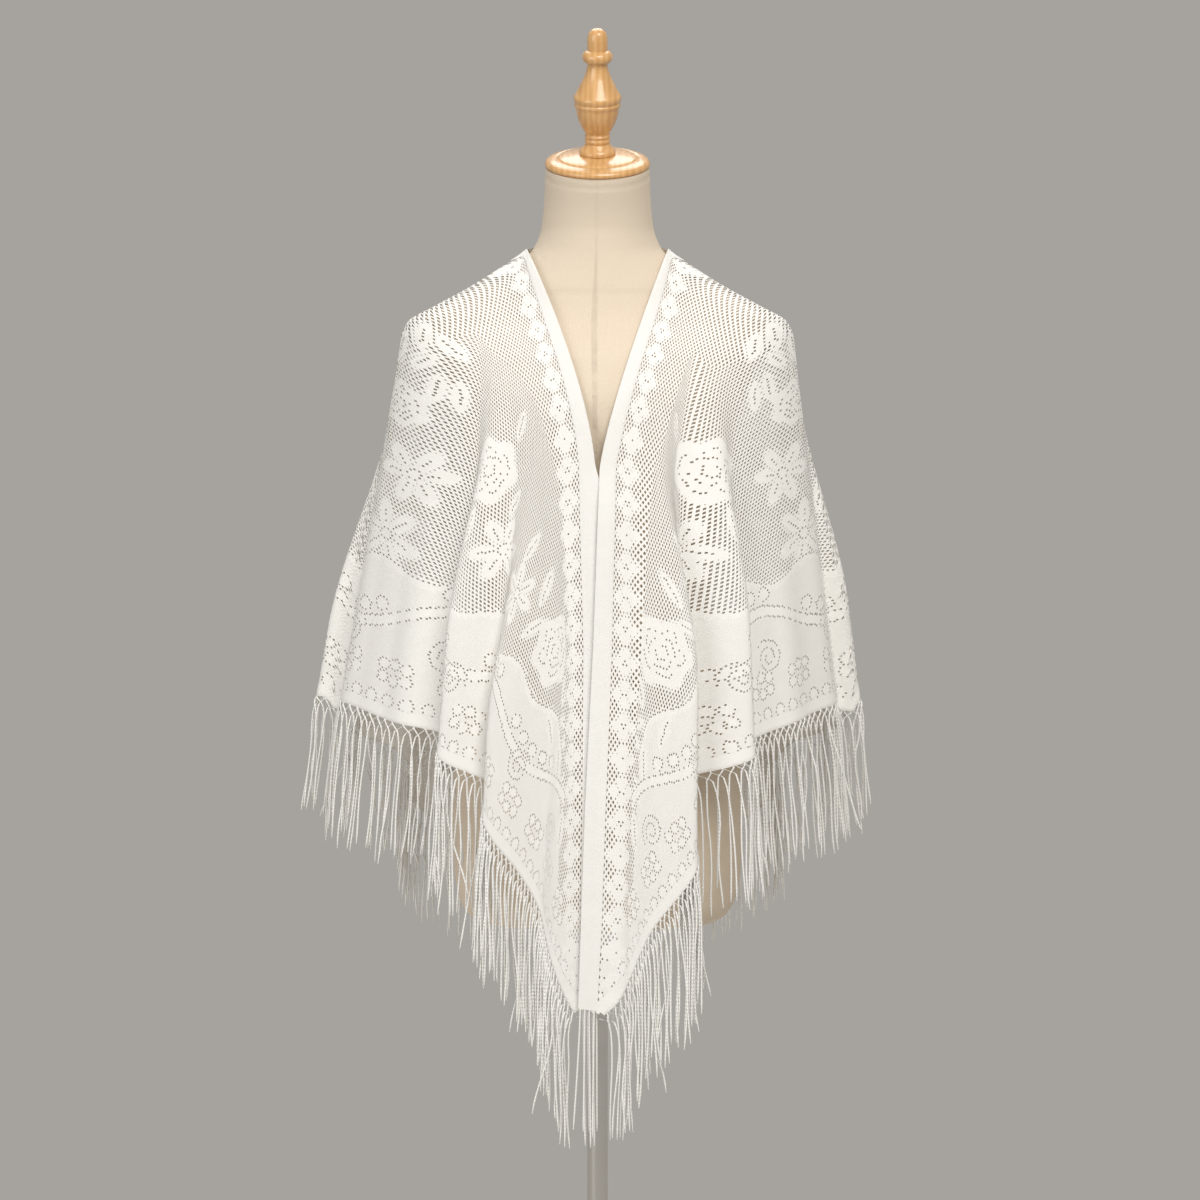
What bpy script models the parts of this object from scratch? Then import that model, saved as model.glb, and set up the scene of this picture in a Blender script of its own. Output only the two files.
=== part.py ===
"""Lace triangle shawl with a plain band and a knotted fringe, worn open over a limbless dress form.

Metres, +Z up. The front faces -Y, +X is the viewer's right, and the origin is under the pole on the floor.
The cloth is one surface, read by an angle round the body (0 at the front, 180 at the back) and a height.
Flat places on the triangle reach it along rays that start at the side of the neck.
"""

import bpy
import numpy as np

# Flat cut of the shawl
HALF_EDGE = 0.92
BACK_DEPTH = 0.74
NECK_SIDE = 0.085
BAND_WIDTH = 0.018
WALL = 0.0016
SEAM_GAP = 0.0006
HEM_GAP = 0.0009
RIDGE_GAP = 0.0015
RIDGE_GAP_SPAN = 0.27
BACK_RAY = 0.88

# Where the shawl lies on the body
NECK_SIDE_HEIGHT = 1.378
NAPE_HEIGHT = 1.394
CLOTH_LOW = 0.42
SHOULDER_HEIGHT = 1.304
CROSSING_HEIGHT = 1.158
CROSSING_GAP = 0.002
NECK_SIDE_OUT = 0.0700
EDGE_BEND = {"left": 1.5, "right": 1.25}
SIDE_FLARE = {"left": 0.172, "right": 0.122}
SIGN = {"left": -1.0, "right": 1.0}

# Fringe
STRAND_STEP = 0.0125
STRAND_LENGTH = 0.135
STRAND_WIDTH = 0.0026
HEADING_HEIGHT = 0.004
CORNER_RAYS = (0.055, 0.2)
CORNER_GAP = 0.0012
STRAND_FLARE = 0.6
STRAND_TAPER = 0.8
STRAND_SWAY = 0.0008
RIDGE_SHARE = 0.0012
FRINGE_ENDS = (0.026, 0.115, 0.2, 0.35, 0.52, 0.75, 0.995)

# Stand
POLE_RADIUS = 0.0105
BASE_RADIUS = 0.15
BASE_THICKNESS = 0.008
COLLAR_RADIUS = 0.020
COLLAR_TOP = 0.045
FORM_BOTTOM = 0.708
NECK_TILT = np.radians(20.5)
NECK_TOP = (0.0, -0.026, 1.459)
NECK_BEND = 1.385
TOUCH_GAP = 0.0003

# Dress form sections: height, half width, front depth, back depth, centre (all metres)
FORM = np.array([
    (0.708, 0.118, 0.085, 0.088, 0.000),
    (0.714, 0.128, 0.094, 0.097, 0.000),
    (0.730, 0.138, 0.103, 0.106, 0.000),
    (0.760, 0.1435, 0.108, 0.112, 0.000),
    (0.820, 0.1450, 0.109, 0.114, 0.000),
    (0.890, 0.1390, 0.105, 0.107, 0.000),
    (0.960, 0.1240, 0.096, 0.094, 0.000),
    (1.030, 0.1115, 0.089, 0.083, 0.000),
    (1.090, 0.1165, 0.097, 0.087, 0.000),
    (1.160, 0.1300, 0.118, 0.096, 0.000),
    (1.220, 0.1420, 0.126, 0.104, 0.000),
    (1.262, 0.1600, 0.112, 0.107, 0.000),
    (1.290, 0.1770, 0.090, 0.104, 0.000),
    (1.306, 0.1770, 0.076, 0.098, -0.001),
    (1.322, 0.1510, 0.070, 0.092, -0.002),
    (1.340, 0.1200, 0.066, 0.084, -0.004),
    (1.360, 0.0860, 0.061, 0.074, -0.006),
    (1.378, 0.0640, 0.057, 0.064, -0.008),
    (1.400, 0.0555, 0.053, 0.055, -0.012),
    (1.430, 0.0525, 0.052, 0.052, -0.018),
    (1.459, 0.0515, 0.052, 0.052, -0.026),
])

# Cloth sections: height, half width, front depth, back depth, centre. Below the shoulder the flare adds width
CLOTH = np.array([
    (0.400, 0.1960, 0.152, 0.138, 0.000),
    (0.600, 0.1960, 0.150, 0.136, 0.000),
    (0.800, 0.1960, 0.147, 0.131, 0.000),
    (1.000, 0.1960, 0.142, 0.125, 0.000),
    (1.160, 0.1960, 0.1365, 0.119, 0.000),
    (1.220, 0.1960, 0.1310, 0.1155, 0.000),
    (1.262, 0.1960, 0.1170, 0.1135, 0.000),
    (1.290, 0.1955, 0.0960, 0.1105, 0.000),
    (1.306, 0.1895, 0.0830, 0.1050, -0.001),
    (1.322, 0.1625, 0.0770, 0.0990, -0.002),
    (1.340, 0.1290, 0.0725, 0.0912, -0.004),
    (1.360, 0.0965, 0.0675, 0.0815, -0.006),
    (1.378, 0.0700, 0.0635, 0.0705, -0.008),
    (1.400, 0.0615, 0.0590, 0.0615, -0.012),
    (1.430, 0.0590, 0.0580, 0.0590, -0.018),
])

# Front edge below the crossing: height, how far each edge stands out from the middle (minus is past it)
EDGE_BELOW = np.array([
    (0.40, 0.000, -0.021),
    (0.62, -0.001, -0.019),
    (0.83, -0.004, -0.012),
    (0.99, -0.004, -0.004),
    (1.158, 0.002, 0.002),
])

# Folds: share of the way round, half width as a share, height, lean (minus leans to the front), top, full below
FOLDS = {
    "left": (
        (0.045, 0.030, 0.006, 0.006, 1.02, 0.72),
        (0.090, 0.036, 0.026, 0.030, 1.18, 0.90),
        (0.146, 0.036, 0.024, 0.032, 1.27, 0.98),
        (0.260, 0.050, 0.006, 0.000, 1.20, 0.95),
        (0.420, 0.060, 0.004, 0.000, 1.24, 1.00),
        (0.560, 0.055, 0.024, -0.022, 1.24, 1.00),
        (0.680, 0.050, 0.020, -0.020, 1.20, 0.95),
        (0.800, 0.060, 0.024, -0.020, 1.22, 0.92),
        (0.925, 0.055, 0.018, -0.010, 1.18, 0.85),
    ),
    "right": (
        (0.040, 0.030, 0.006, 0.004, 1.08, 0.80),
        (0.084, 0.036, 0.026, 0.034, 1.22, 0.94),
        (0.170, 0.044, 0.020, 0.024, 1.27, 1.00),
        (0.290, 0.055, 0.006, 0.000, 1.18, 0.95),
        (0.410, 0.060, 0.004, 0.000, 1.22, 1.00),
        (0.545, 0.055, 0.022, -0.020, 1.25, 1.02),
        (0.660, 0.052, 0.022, -0.022, 1.22, 0.96),
        (0.790, 0.056, 0.022, -0.018, 1.20, 0.90),
        (0.905, 0.050, 0.020, -0.012, 1.22, 0.90),
    ),
}
# Rays: share of the way round where each hangs, flat angle from the long edge (degrees) on the left and right
RAY_SLANTS = np.array([
    (0.000, 0.0, 0.0),
    (0.026, 2.1, 1.8),
    (0.040, 4.7, 2.8),
    (0.052, 7.9, 4.4),
    (0.064, 11.2, 8.4),
    (0.076, 15.4, 12.0),
    (0.091, 20.2, 15.8),
    (0.118, 27.5, 28.5),
    (0.143, 34.0, 31.0),
    (0.170, 41.5, 34.5),
    (0.220, 46.5, 41.5),
    (0.300, 51.0, 49.5),
    (0.400, 56.0, 55.5),
    (0.500, 61.0, 61.0),
    (0.700, 75.0, 75.0),
    (0.880, 90.0, 90.0),
    (1.000, 90.0, 90.0),
])
SLANT_COLUMN = {"left": 0, "right": 1}
RIDGE_RAY = 0.5
RIDGE_SLANT = 61.0
EDGE_SLOPE = 0.30
RIDGE_SLOPE = 2.35
BACK_RIDGE_SLOPE = 1.95
BACK_SLOPE = 0.16
FAN_TOP = 1.365
FAN_FOOT = 1.315
OVERLAP_LIFT = 0.006
OVERLAP_SHARE = 0.10

# Rays at the columns of the lace, from the front point to the side and on to the middle of the back
FRONT_RAYS = np.concatenate([
    (0.0245, 0.0275, 0.0305, 0.034, 0.0375, 0.0425, 0.047),
    (0.051, 0.0545, 0.058, 0.062, 0.067, 0.073),
    np.arange(0.082, 0.205, 0.011),
    (0.215, 0.235, 0.26, 0.29, 0.325, 0.365, 0.41, 0.455, 0.4993),
])
BACK_RAYS = np.concatenate([(0.5007,), np.arange(0.525, 0.985, 0.02), (0.9992,)])
LACE_ROWS = 11
BAND_POINT = 0.034
BAND_TURN = (0.11, 0.93)
NECK_EASE = 0.007
NECK_EASE_RAYS = (0.25, 0.45, 0.89, 0.96)

# Finial, turned: distance along its axis, radius
FINIAL = (
    (0.0000, 0.0170),
    (0.0040, 0.0165),
    (0.0090, 0.0105),
    (0.0120, 0.0125),
    (0.0160, 0.0105),
    (0.0200, 0.0110),
    (0.0260, 0.0165),
    (0.0360, 0.0210),
    (0.0475, 0.0226),
    (0.0520, 0.0240),
    (0.0560, 0.0225),
    (0.0640, 0.0150),
    (0.0760, 0.0112),
    (0.0875, 0.0098),
    (0.0915, 0.0150),
    (0.0975, 0.0160),
    (0.1030, 0.0115),
    (0.1150, 0.0110),
    (0.1225, 0.0080),
    (0.1260, 0.0030),
)
CAP_THICKNESS = 0.0085
CAP_RADIUS = 0.0520
STEP_THICKNESS = 0.0035
STEP_RADIUS = 0.0300


def clear_scene():
    for obj in list(bpy.data.objects):
        bpy.data.objects.remove(obj, do_unlink=True)


def finish_material(name, colour, roughness, metallic=0.0):
    material = bpy.data.materials.new(name)
    material.use_nodes = True
    shader = material.node_tree.nodes["Principled BSDF"]
    shader.inputs["Base Color"].default_value = (*colour, 1.0)
    shader.inputs["Roughness"].default_value = roughness
    shader.inputs["Metallic"].default_value = metallic
    return material


def add_object(name, points, faces, material, smooth=True):
    mesh = bpy.data.meshes.new(name)
    mesh.from_pydata([tuple(point) for point in points], [], faces)
    mesh.validate()
    mesh.materials.append(material)
    if smooth:
        mesh.shade_smooth()
        mesh.set_sharp_from_angle(angle=np.radians(50.0))
    obj = bpy.data.objects.new(name, mesh)
    bpy.context.scene.collection.objects.link(obj)
    return obj


def smooth_rise(value):
    """0 below 0, 1 above 1, and an S between."""
    share = np.clip(value, 0.0, 1.0)
    return share * share * (3.0 - 2.0 * share)


def smooth_columns(table, height):
    """The table's columns after the first at each height, on cubic curves that don't overshoot."""
    heights = table[:, 0]
    steps = np.diff(heights)[:, None]
    slopes = np.diff(table[:, 1:], axis=0) / steps
    same_way = slopes[:-1] * slopes[1:] > 0
    mean = 2.0 * slopes[:-1] * slopes[1:] / np.where(same_way, slopes[:-1] + slopes[1:], 1.0)
    tangents = np.vstack([slopes[:1], np.where(same_way, mean, 0.0), slopes[-1:]])
    height = np.clip(height, heights[0], heights[-1])
    row = np.clip(np.searchsorted(heights, height, side="right") - 1, 0, len(heights) - 2)
    step = steps[row, 0]
    share = (height - heights[row]) / step
    low, high = table[row, 1:], table[row + 1, 1:]
    share, step = share[..., None], step[..., None]
    return (
        low * (1 + 2 * share) * (1 - share) ** 2
        + high * share**2 * (3 - 2 * share)
        + tangents[row] * step * share * (1 - share) ** 2
        - tangents[row + 1] * step * share**2 * (1 - share)
    )


def ring_point(sections, angle, sideways):
    """A point of the section ring. sections ends with half width, front, back and centre."""
    half_width, front, back, centre = np.moveaxis(sections, -1, 0)
    cosine = np.cos(angle)
    depth = np.where(cosine > 0, front, back)
    return np.stack([sideways * half_width * np.sin(angle), centre - depth * cosine], axis=-1)


def cloth_sections(side, height):
    sections = smooth_columns(CLOTH, height)
    below = np.clip(SHOULDER_HEIGHT - height, 0.0, None)
    sections[..., 0] += SIDE_FLARE[side] * (below - 0.02 * (1 - np.exp(-below / 0.02)))
    return sections


def edge_angle(side, height):
    """The angle of the front edge: a V down to where the fronts meet, then nearly straight down."""
    up = np.clip((height - CROSSING_HEIGHT) / (NECK_SIDE_HEIGHT - CROSSING_HEIGHT), 0.0, 1.0)
    rise = NECK_SIDE_OUT - CROSSING_GAP
    column = 1 if side == "left" else 2
    low = np.interp(height, EDGE_BELOW[:, 0], EDGE_BELOW[:, column])
    out = low + rise * up ** EDGE_BEND[side]
    half_width = cloth_sections(side, height)[..., 0]
    return np.arcsin(np.clip(out / half_width, -1.0, 1.0))


def share_round(side, angle, height):
    """0 at the front edge, half at the side and 1 in the middle of the back."""
    edge = edge_angle(side, height)
    quarter = 0.5 * np.pi
    front = 0.5 * (angle - edge) / np.maximum(quarter - edge, 1e-4)
    return np.where(angle < quarter, front, angle / np.pi)


def cloth_point(side, angle, height):
    """The middle of the cloth's wall, with its folds."""
    angle, height = np.broadcast_arrays(angle, height)
    flat = ring_point(cloth_sections(side, height), angle, SIGN[side])
    nudge = 0.002
    ahead = ring_point(cloth_sections(side, height), angle + nudge, SIGN[side])
    behind = ring_point(cloth_sections(side, height), angle - nudge, SIGN[side])
    along = ahead - behind
    along /= np.linalg.norm(along, axis=-1, keepdims=True)
    outward = np.stack([along[..., 1], -along[..., 0]], axis=-1) * SIGN[side]
    share = share_round(side, angle, height)
    lift = np.zeros_like(height)
    slide = np.zeros_like(height)
    for centre, half, rise, lean, top, full in FOLDS[side]:
        distance = np.clip(np.abs(share - centre) / half, 0.0, 1.0)
        bump = 0.5 + 0.5 * np.cos(np.pi * distance)
        grown = bump * smooth_rise((top - height) / (top - full))
        lift += rise * grown
        slide += lean * grown
    if side == "right":
        under = smooth_rise((CROSSING_HEIGHT + 0.01 - height) / 0.06)
        lift += OVERLAP_LIFT * under * smooth_rise(1.0 - np.abs(share) / OVERLAP_SHARE)
    flat = flat + outward * lift[..., None] + along * slide[..., None]
    return np.concatenate([flat, height[..., None]], axis=-1)


def cloth_normal(side, angle, height):
    turn, drop = 0.004, 0.0015
    round_it = cloth_point(side, angle + turn, height) - cloth_point(side, angle - turn, height)
    down_it = cloth_point(side, angle, height - drop) - cloth_point(side, angle, height + drop)
    normal = np.cross(down_it, round_it) * SIGN[side]
    return normal / np.linalg.norm(normal, axis=-1, keepdims=True)


def ray_start(ray):
    """Flat distance of a ray's start from the nape: the side of the neck, or the back of the neck edge."""
    return NECK_SIDE * np.clip((1.0 - ray) / (1.0 - BACK_RAY), 0.0, 1.0)


def ray_slant(side, ray):
    """Flat angle between a ray and the long edge."""
    return np.radians(smooth_columns(RAY_SLANTS, np.asarray(ray, float))[..., SLANT_COLUMN[side]])


def ray_reach(side, ray, edge_distance=0.0):
    """Flat length of a ray from its start to the slanting edge."""
    start, slant = ray_start(ray), ray_slant(side, ray)
    return (1 - start / HALF_EDGE) / (np.cos(slant) / HALF_EDGE + np.sin(slant) / BACK_DEPTH) - edge_distance


def ray_top(ray):
    back = np.clip((ray - BACK_RAY) / (1.0 - BACK_RAY), 0.0, 1.0)
    return NECK_SIDE_HEIGHT + (NAPE_HEIGHT - NECK_SIDE_HEIGHT) * smooth_rise(back)


def ray_angle(side, ray, height):
    """Where a ray lies at a height: it fans out from the neck, then hangs at its own place round the body."""
    edge = edge_angle(side, height)
    quarter = 0.5 * np.pi
    hung = np.where(ray < RIDGE_RAY, edge + (quarter - edge) * ray / RIDGE_RAY, np.pi * ray)
    drop = np.clip(NECK_SIDE_HEIGHT - height, 0.0, None)
    half_width = cloth_sections(side, height)[..., 0]
    fan = np.minimum(np.degrees(ray_slant(side, ray)) / RIDGE_SLANT, 1.0)
    lowest, highest = np.arctan(-EDGE_SLOPE), np.arctan(RIDGE_SLOPE - EDGE_SLOPE)
    spare = highest - lowest - np.radians(RIDGE_SLANT)
    front_slope = np.tan(lowest + np.radians(RIDGE_SLANT) * fan + spare * fan**2) + EDGE_SLOPE
    front_out = half_width * np.sin(edge) + drop * front_slope
    front = np.arcsin(np.clip(front_out / half_width, -1.0, 1.0))
    front = np.minimum(front, hung)
    back_share = np.clip((ray - BACK_RAY) / (1.0 - BACK_RAY), 0.0, 1.0)
    turned = np.clip((ray - RIDGE_RAY) / (BACK_RAY - RIDGE_RAY), 0.0, 1.0)
    steepest = np.arctan(BACK_RIDGE_SLOPE)
    back_slope = np.tan(steepest + (BACK_SLOPE - steepest) * turned) * (1.0 - back_share)
    back_out = NECK_SIDE_OUT * np.cos(0.5 * np.pi * back_share) + drop * back_slope
    back = np.pi - np.arcsin(np.clip(back_out / half_width, 0.0, 1.0))
    below_ridge = smooth_rise((FAN_TOP - height) / (FAN_TOP - FAN_FOOT))
    back = back + (np.maximum(back, hung) - back) * below_ridge
    return np.where(ray < RIDGE_RAY, front, back)


def place_on_cloth(side, ray, reach):
    """Angle and height of the place that lies this far along a ray."""
    ray, reach = np.broadcast_arrays(np.asarray(ray, float), np.asarray(reach, float))
    rays, which = np.unique(ray, return_inverse=True)
    share = np.linspace(0.0, 1.0, 241)
    heights = ray_top(rays)[:, None] + (CLOTH_LOW - ray_top(rays)[:, None]) * share[None, :] ** 1.4
    angles = ray_angle(side, rays[:, None], heights)
    flat = ring_point(cloth_sections(side, heights), angles, SIGN[side])
    path = np.concatenate([flat, heights[..., None]], axis=-1)
    steps = np.linalg.norm(np.diff(path, axis=1), axis=-1)
    length = np.concatenate([np.zeros((len(rays), 1)), np.cumsum(steps, axis=1)], axis=1)
    which = which.reshape(ray.shape)
    height = np.empty(ray.shape)
    for index in range(len(rays)):
        mine = which == index
        height[mine] = np.interp(reach[mine], length[index], heights[index])
    return ray_angle(side, ray, height), height


def ray_through(side, along, across):
    """Ray and reach of a flat place: along the long edge from the nape, and across from it."""
    low = np.zeros_like(along)
    high = np.ones_like(along)
    for _ in range(40):
        middle = 0.5 * (low + high)
        slant = ray_slant(side, middle)
        short = (along - ray_start(middle)) * np.sin(slant) < across * np.cos(slant)
        low = np.where(short, middle, low)
        high = np.where(short, high, middle)
    ray = 0.5 * (low + high)
    return ray, np.hypot(along - ray_start(ray), across)


def wall_mesh(middle, normal, thickness):
    """Closed wall round a grid of points (rows, columns, 3)."""
    rows, columns = middle.shape[:2]
    outer = (middle + normal * thickness / 2).reshape(-1, 3)
    inner = (middle - normal * thickness / 2).reshape(-1, 3)
    points = np.concatenate([outer, inner])
    below = rows * columns
    faces = []
    for row in range(rows - 1):
        for column in range(columns - 1):
            a = row * columns + column
            b, c, d = a + 1, a + columns + 1, a + columns
            faces.append((a, b, c, d))
            faces.append((a + below, d + below, c + below, b + below))
    top = list(range(columns))
    right = [row * columns + columns - 1 for row in range(1, rows)]
    bottom = [(rows - 1) * columns + column for column in range(columns - 2, -1, -1)]
    left = [row * columns for row in range(rows - 2, 0, -1)]
    border = top + right + bottom + left
    for a, b in zip(border, border[1:] + border[:1]):
        faces.append((b, a, a + below, b + below))
    return points, faces


def face_outward(obj):
    """Turns the faces round where the wall came out inside out."""
    mesh = obj.data
    mesh.calc_loop_triangles()
    corners = np.array([[mesh.vertices[i].co[:] for i in t.vertices] for t in mesh.loop_triangles])
    if np.linalg.det(corners).sum() < 0:
        mesh.flip_normals()
    return obj


def make_lace(name, side, rays, rows, material):
    """A stretch of the lace ground between two rays, from the band to the slanting edge."""
    rays = np.asarray(rays)
    turning = np.clip(1.0 - np.abs(rays - RIDGE_RAY) / RIDGE_GAP_SPAN, 0.0, 1.0)
    start = (band_width(rays) + SEAM_GAP) / np.sin(ray_slant(side, rays)) + RIDGE_GAP * turning
    end = ray_reach(side, rays)
    share = np.linspace(0.0, 1.0, rows) ** 1.15
    reach = start[None, :] + (end - start)[None, :] * share[:, None]
    grid_rays = np.broadcast_to(rays, reach.shape)
    angle, height = place_on_cloth(side, grid_rays, reach)
    middle = cloth_point(side, angle, height)
    normal = cloth_normal(side, angle, height)
    points, faces = wall_mesh(middle, normal, WALL)
    return face_outward(add_object(name, points, faces, material))


def band_width(rays):
    """The band is eased out a little where it turns round the side of the neck."""
    begin, full, until, end = NECK_EASE_RAYS
    rise = smooth_rise((rays - begin) / (full - begin))
    fall = smooth_rise((end - rays) / (end - until))
    return BAND_WIDTH + NECK_EASE * rise * fall


def make_band(name, side, material):
    """The plain band along the long edge, from the middle of the back to the front point."""
    rays = np.concatenate([FRONT_RAYS, BACK_RAYS])[::-1]
    width = np.append(band_width(rays), BAND_WIDTH)
    seam = ray_start(rays) + (width[:-1] + SEAM_GAP) / np.tan(ray_slant(side, rays))
    edge = seam.copy()
    turning = (rays > BAND_TURN[0]) & (rays < BAND_TURN[1])
    first, last = np.flatnonzero(turning)[[0, -1]]
    edge[first : last + 1] = np.linspace(seam[first], seam[last], last + 1 - first)
    seam = np.append(seam, HALF_EDGE - BAND_POINT)
    edge = np.append(edge, HALF_EDGE - BAND_POINT)
    share = np.array([0.0, 0.5, 1.0])
    grid_along = edge[:, None] * (1 - share) + seam[:, None] * share
    grid_across = width[:, None] * share
    ray, reach = ray_through(side, grid_along, np.maximum(grid_across, 1e-6))
    angle, height = place_on_cloth(side, ray, reach)
    middle = cloth_point(side, angle, height)
    normal = cloth_normal(side, angle, height)
    points, faces = wall_mesh(middle, normal, WALL)
    return face_outward(add_object(name, points, faces, material))


def hem_places(side, rays, below):
    """Angle and height of the places this far outside the slanting edge, square to it."""
    slant_of_hem = np.arctan(BACK_DEPTH / HALF_EDGE)
    reach = ray_reach(side, rays) + below / np.sin(ray_slant(side, rays) + slant_of_hem)
    return place_on_cloth(side, rays, reach)


def between_columns(rays, columns, values):
    """Values read straight between the lace's columns, so that the heading keeps to the flat faces of the hem."""
    flat = values.reshape(len(columns), -1)
    read = np.stack([np.interp(rays, columns, flat[:, index]) for index in range(flat.shape[1])], axis=-1)
    return read.reshape((len(rays),) + values.shape[1:])


def make_fringe(name, side, low, high, material, seed):
    """One heading strip just below the slanting edge, with its strands drawn out of its lower edge."""
    rng = np.random.default_rng(seed)
    columns = np.concatenate([FRONT_RAYS, BACK_RAYS])
    corner = np.sin(np.pi * np.clip((columns - CORNER_RAYS[0]) / (CORNER_RAYS[1] - CORNER_RAYS[0]), 0.0, 1.0))
    gap = HEM_GAP + CORNER_GAP * corner
    below = gap[:, None] + np.array([0.0, HEADING_HEIGHT])
    angle, height = hem_places(side, columns[:, None], below)
    strip = cloth_point(side, angle, height)
    normal = cloth_normal(side, angle, height)
    flat_low, flat_high = ray_hem_length(side, low), ray_hem_length(side, high)
    count = max(3, int(round((flat_high - flat_low) / STRAND_STEP)))
    middles = flat_low + (flat_high - flat_low) * (np.arange(count) + 0.5) / count
    starts = ray_at_hem_length(side, middles - 0.5 * STRAND_WIDTH)
    stops = ray_at_hem_length(side, middles + 0.5 * STRAND_WIDTH)
    free = [ray for ray in columns if low < ray < high and not np.any((starts <= ray) & (ray <= stops))]
    rays = np.sort(np.concatenate([[low, high], free, starts, stops]))
    grid = between_columns(rays, columns, strip).transpose(1, 0, 2)
    across = between_columns(rays, columns, normal).transpose(1, 0, 2)
    across /= np.linalg.norm(across, axis=-1, keepdims=True)
    points, faces = wall_mesh(grid, across, WALL)
    root_rays = ray_at_hem_length(side, middles)
    root_angle, root_height = hem_places(side, root_rays, HEM_GAP + HEADING_HEIGHT)
    lengths = STRAND_LENGTH * rng.uniform(0.93, 1.04, count)
    lower = cloth_point(side, root_angle, root_height - lengths)
    sway = rng.normal(0.0, STRAND_SWAY, (count, 2))
    points = list(points)
    for index in range(count):
        corner = len(rays) + int(np.searchsorted(rays, starts[index]))
        draw_strand(points, faces, corner, 2 * len(rays), lower[index], sway[index])
    return face_outward(add_object(name, points, faces, material))


def ray_hem_length(side, ray):
    """Flat length along the slanting edge from the front point to a ray's end."""
    ray = np.asarray(ray, float)
    reach = ray_reach(side, ray)
    along = ray_start(ray) + reach * np.cos(ray_slant(side, ray))
    across = reach * np.sin(ray_slant(side, ray))
    return np.hypot(HALF_EDGE - along, across)


def ray_at_hem_length(side, length):
    rays = np.linspace(0.0, 1.0, 2001)
    return np.interp(length, ray_hem_length(side, rays), rays)


def draw_strand(points, faces, corner, below, lower, sway):
    """Draws the lower border face that starts at this corner out into a thin strand with a free end."""
    wanted = {corner, corner + 1, corner + below, corner + 1 + below}
    root = next(face for face in faces if set(face) == wanted)
    faces.remove(root)
    ring = np.array([points[index] for index in root])
    centre = ring.mean(axis=0)
    end = centre + (lower - centre) * (STRAND_FLARE, STRAND_FLARE, 1.0)
    end[:2] += sway
    around = (ring - centre) * (STRAND_TAPER, STRAND_TAPER, 0.0)
    first = len(points)
    points.extend(end + around)
    tip = tuple(range(first, first + 4))
    for start in range(4):
        after = (start + 1) % 4
        faces.append((root[start], root[after], tip[after], tip[start]))
    faces.append(tip)


def make_torso(material):
    """The padded form: sections from the hip to the neck, whose top slopes down to the front."""
    around = np.radians(np.arange(0.0, 360.0, 9.0))
    heights = np.concatenate([FORM[:, 0], [0.925, 0.995, 1.125, 1.19, 1.242]])
    heights = np.sort(heights)
    sections = smooth_columns(FORM, heights)
    sideways = np.where(around <= np.pi, 1.0, -1.0)
    folded = np.where(around <= np.pi, around, 2 * np.pi - around)
    flat = ring_point(sections[:, None, :], folded[None, :], sideways[None, :])
    slope = np.tan(NECK_TILT) * smooth_rise((heights - NECK_BEND) / (NECK_TOP[2] - NECK_BEND))
    centre = sections[:, 3]
    rise = slope[:, None] * (flat[..., 1] - centre[:, None])
    rings = np.concatenate([flat, (heights[:, None] + rise)[..., None]], axis=-1)
    count = len(around)
    points = rings.reshape(-1, 3)
    faces = []
    for row in range(len(heights) - 1):
        for column in range(count):
            a = row * count + column
            b = row * count + (column + 1) % count
            faces.append((a, b, b + count, a + count))
    faces.append(tuple(range(count - 1, -1, -1)))
    faces.append(tuple((len(heights) - 1) * count + column for column in range(count)))
    return face_outward(add_object("torso", points, faces, material))


def make_turned(name, profile, material, origin=(0.0, 0.0, 0.0), tilt=0.0, sides=32):
    """A solid of revolution from (distance along the axis, radius) rows, closed flat at both ends."""
    points, faces = [], []
    for distance, radius in profile:
        for side in range(sides):
            turn = 2 * np.pi * side / sides
            x, y = radius * np.cos(turn), radius * np.sin(turn)
            leaned_y = y * np.cos(tilt) - distance * np.sin(tilt)
            leaned_z = y * np.sin(tilt) + distance * np.cos(tilt)
            points.append((origin[0] + x, origin[1] + leaned_y, origin[2] + leaned_z))
    for row in range(len(profile) - 1):
        for side in range(sides):
            a = row * sides + side
            b = row * sides + (side + 1) % sides
            faces.append((a, b, b + sides, a + sides))
    faces.append(tuple(range(sides - 1, -1, -1)))
    faces.append(tuple((len(profile) - 1) * sides + side for side in range(sides)))
    return face_outward(add_object(name, points, faces, material))


def along_neck(distance):
    """The point this far up the neck's own axis from the middle of its top."""
    return (
        NECK_TOP[0],
        NECK_TOP[1] - distance * np.sin(NECK_TILT),
        NECK_TOP[2] + distance * np.cos(NECK_TILT),
    )


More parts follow.
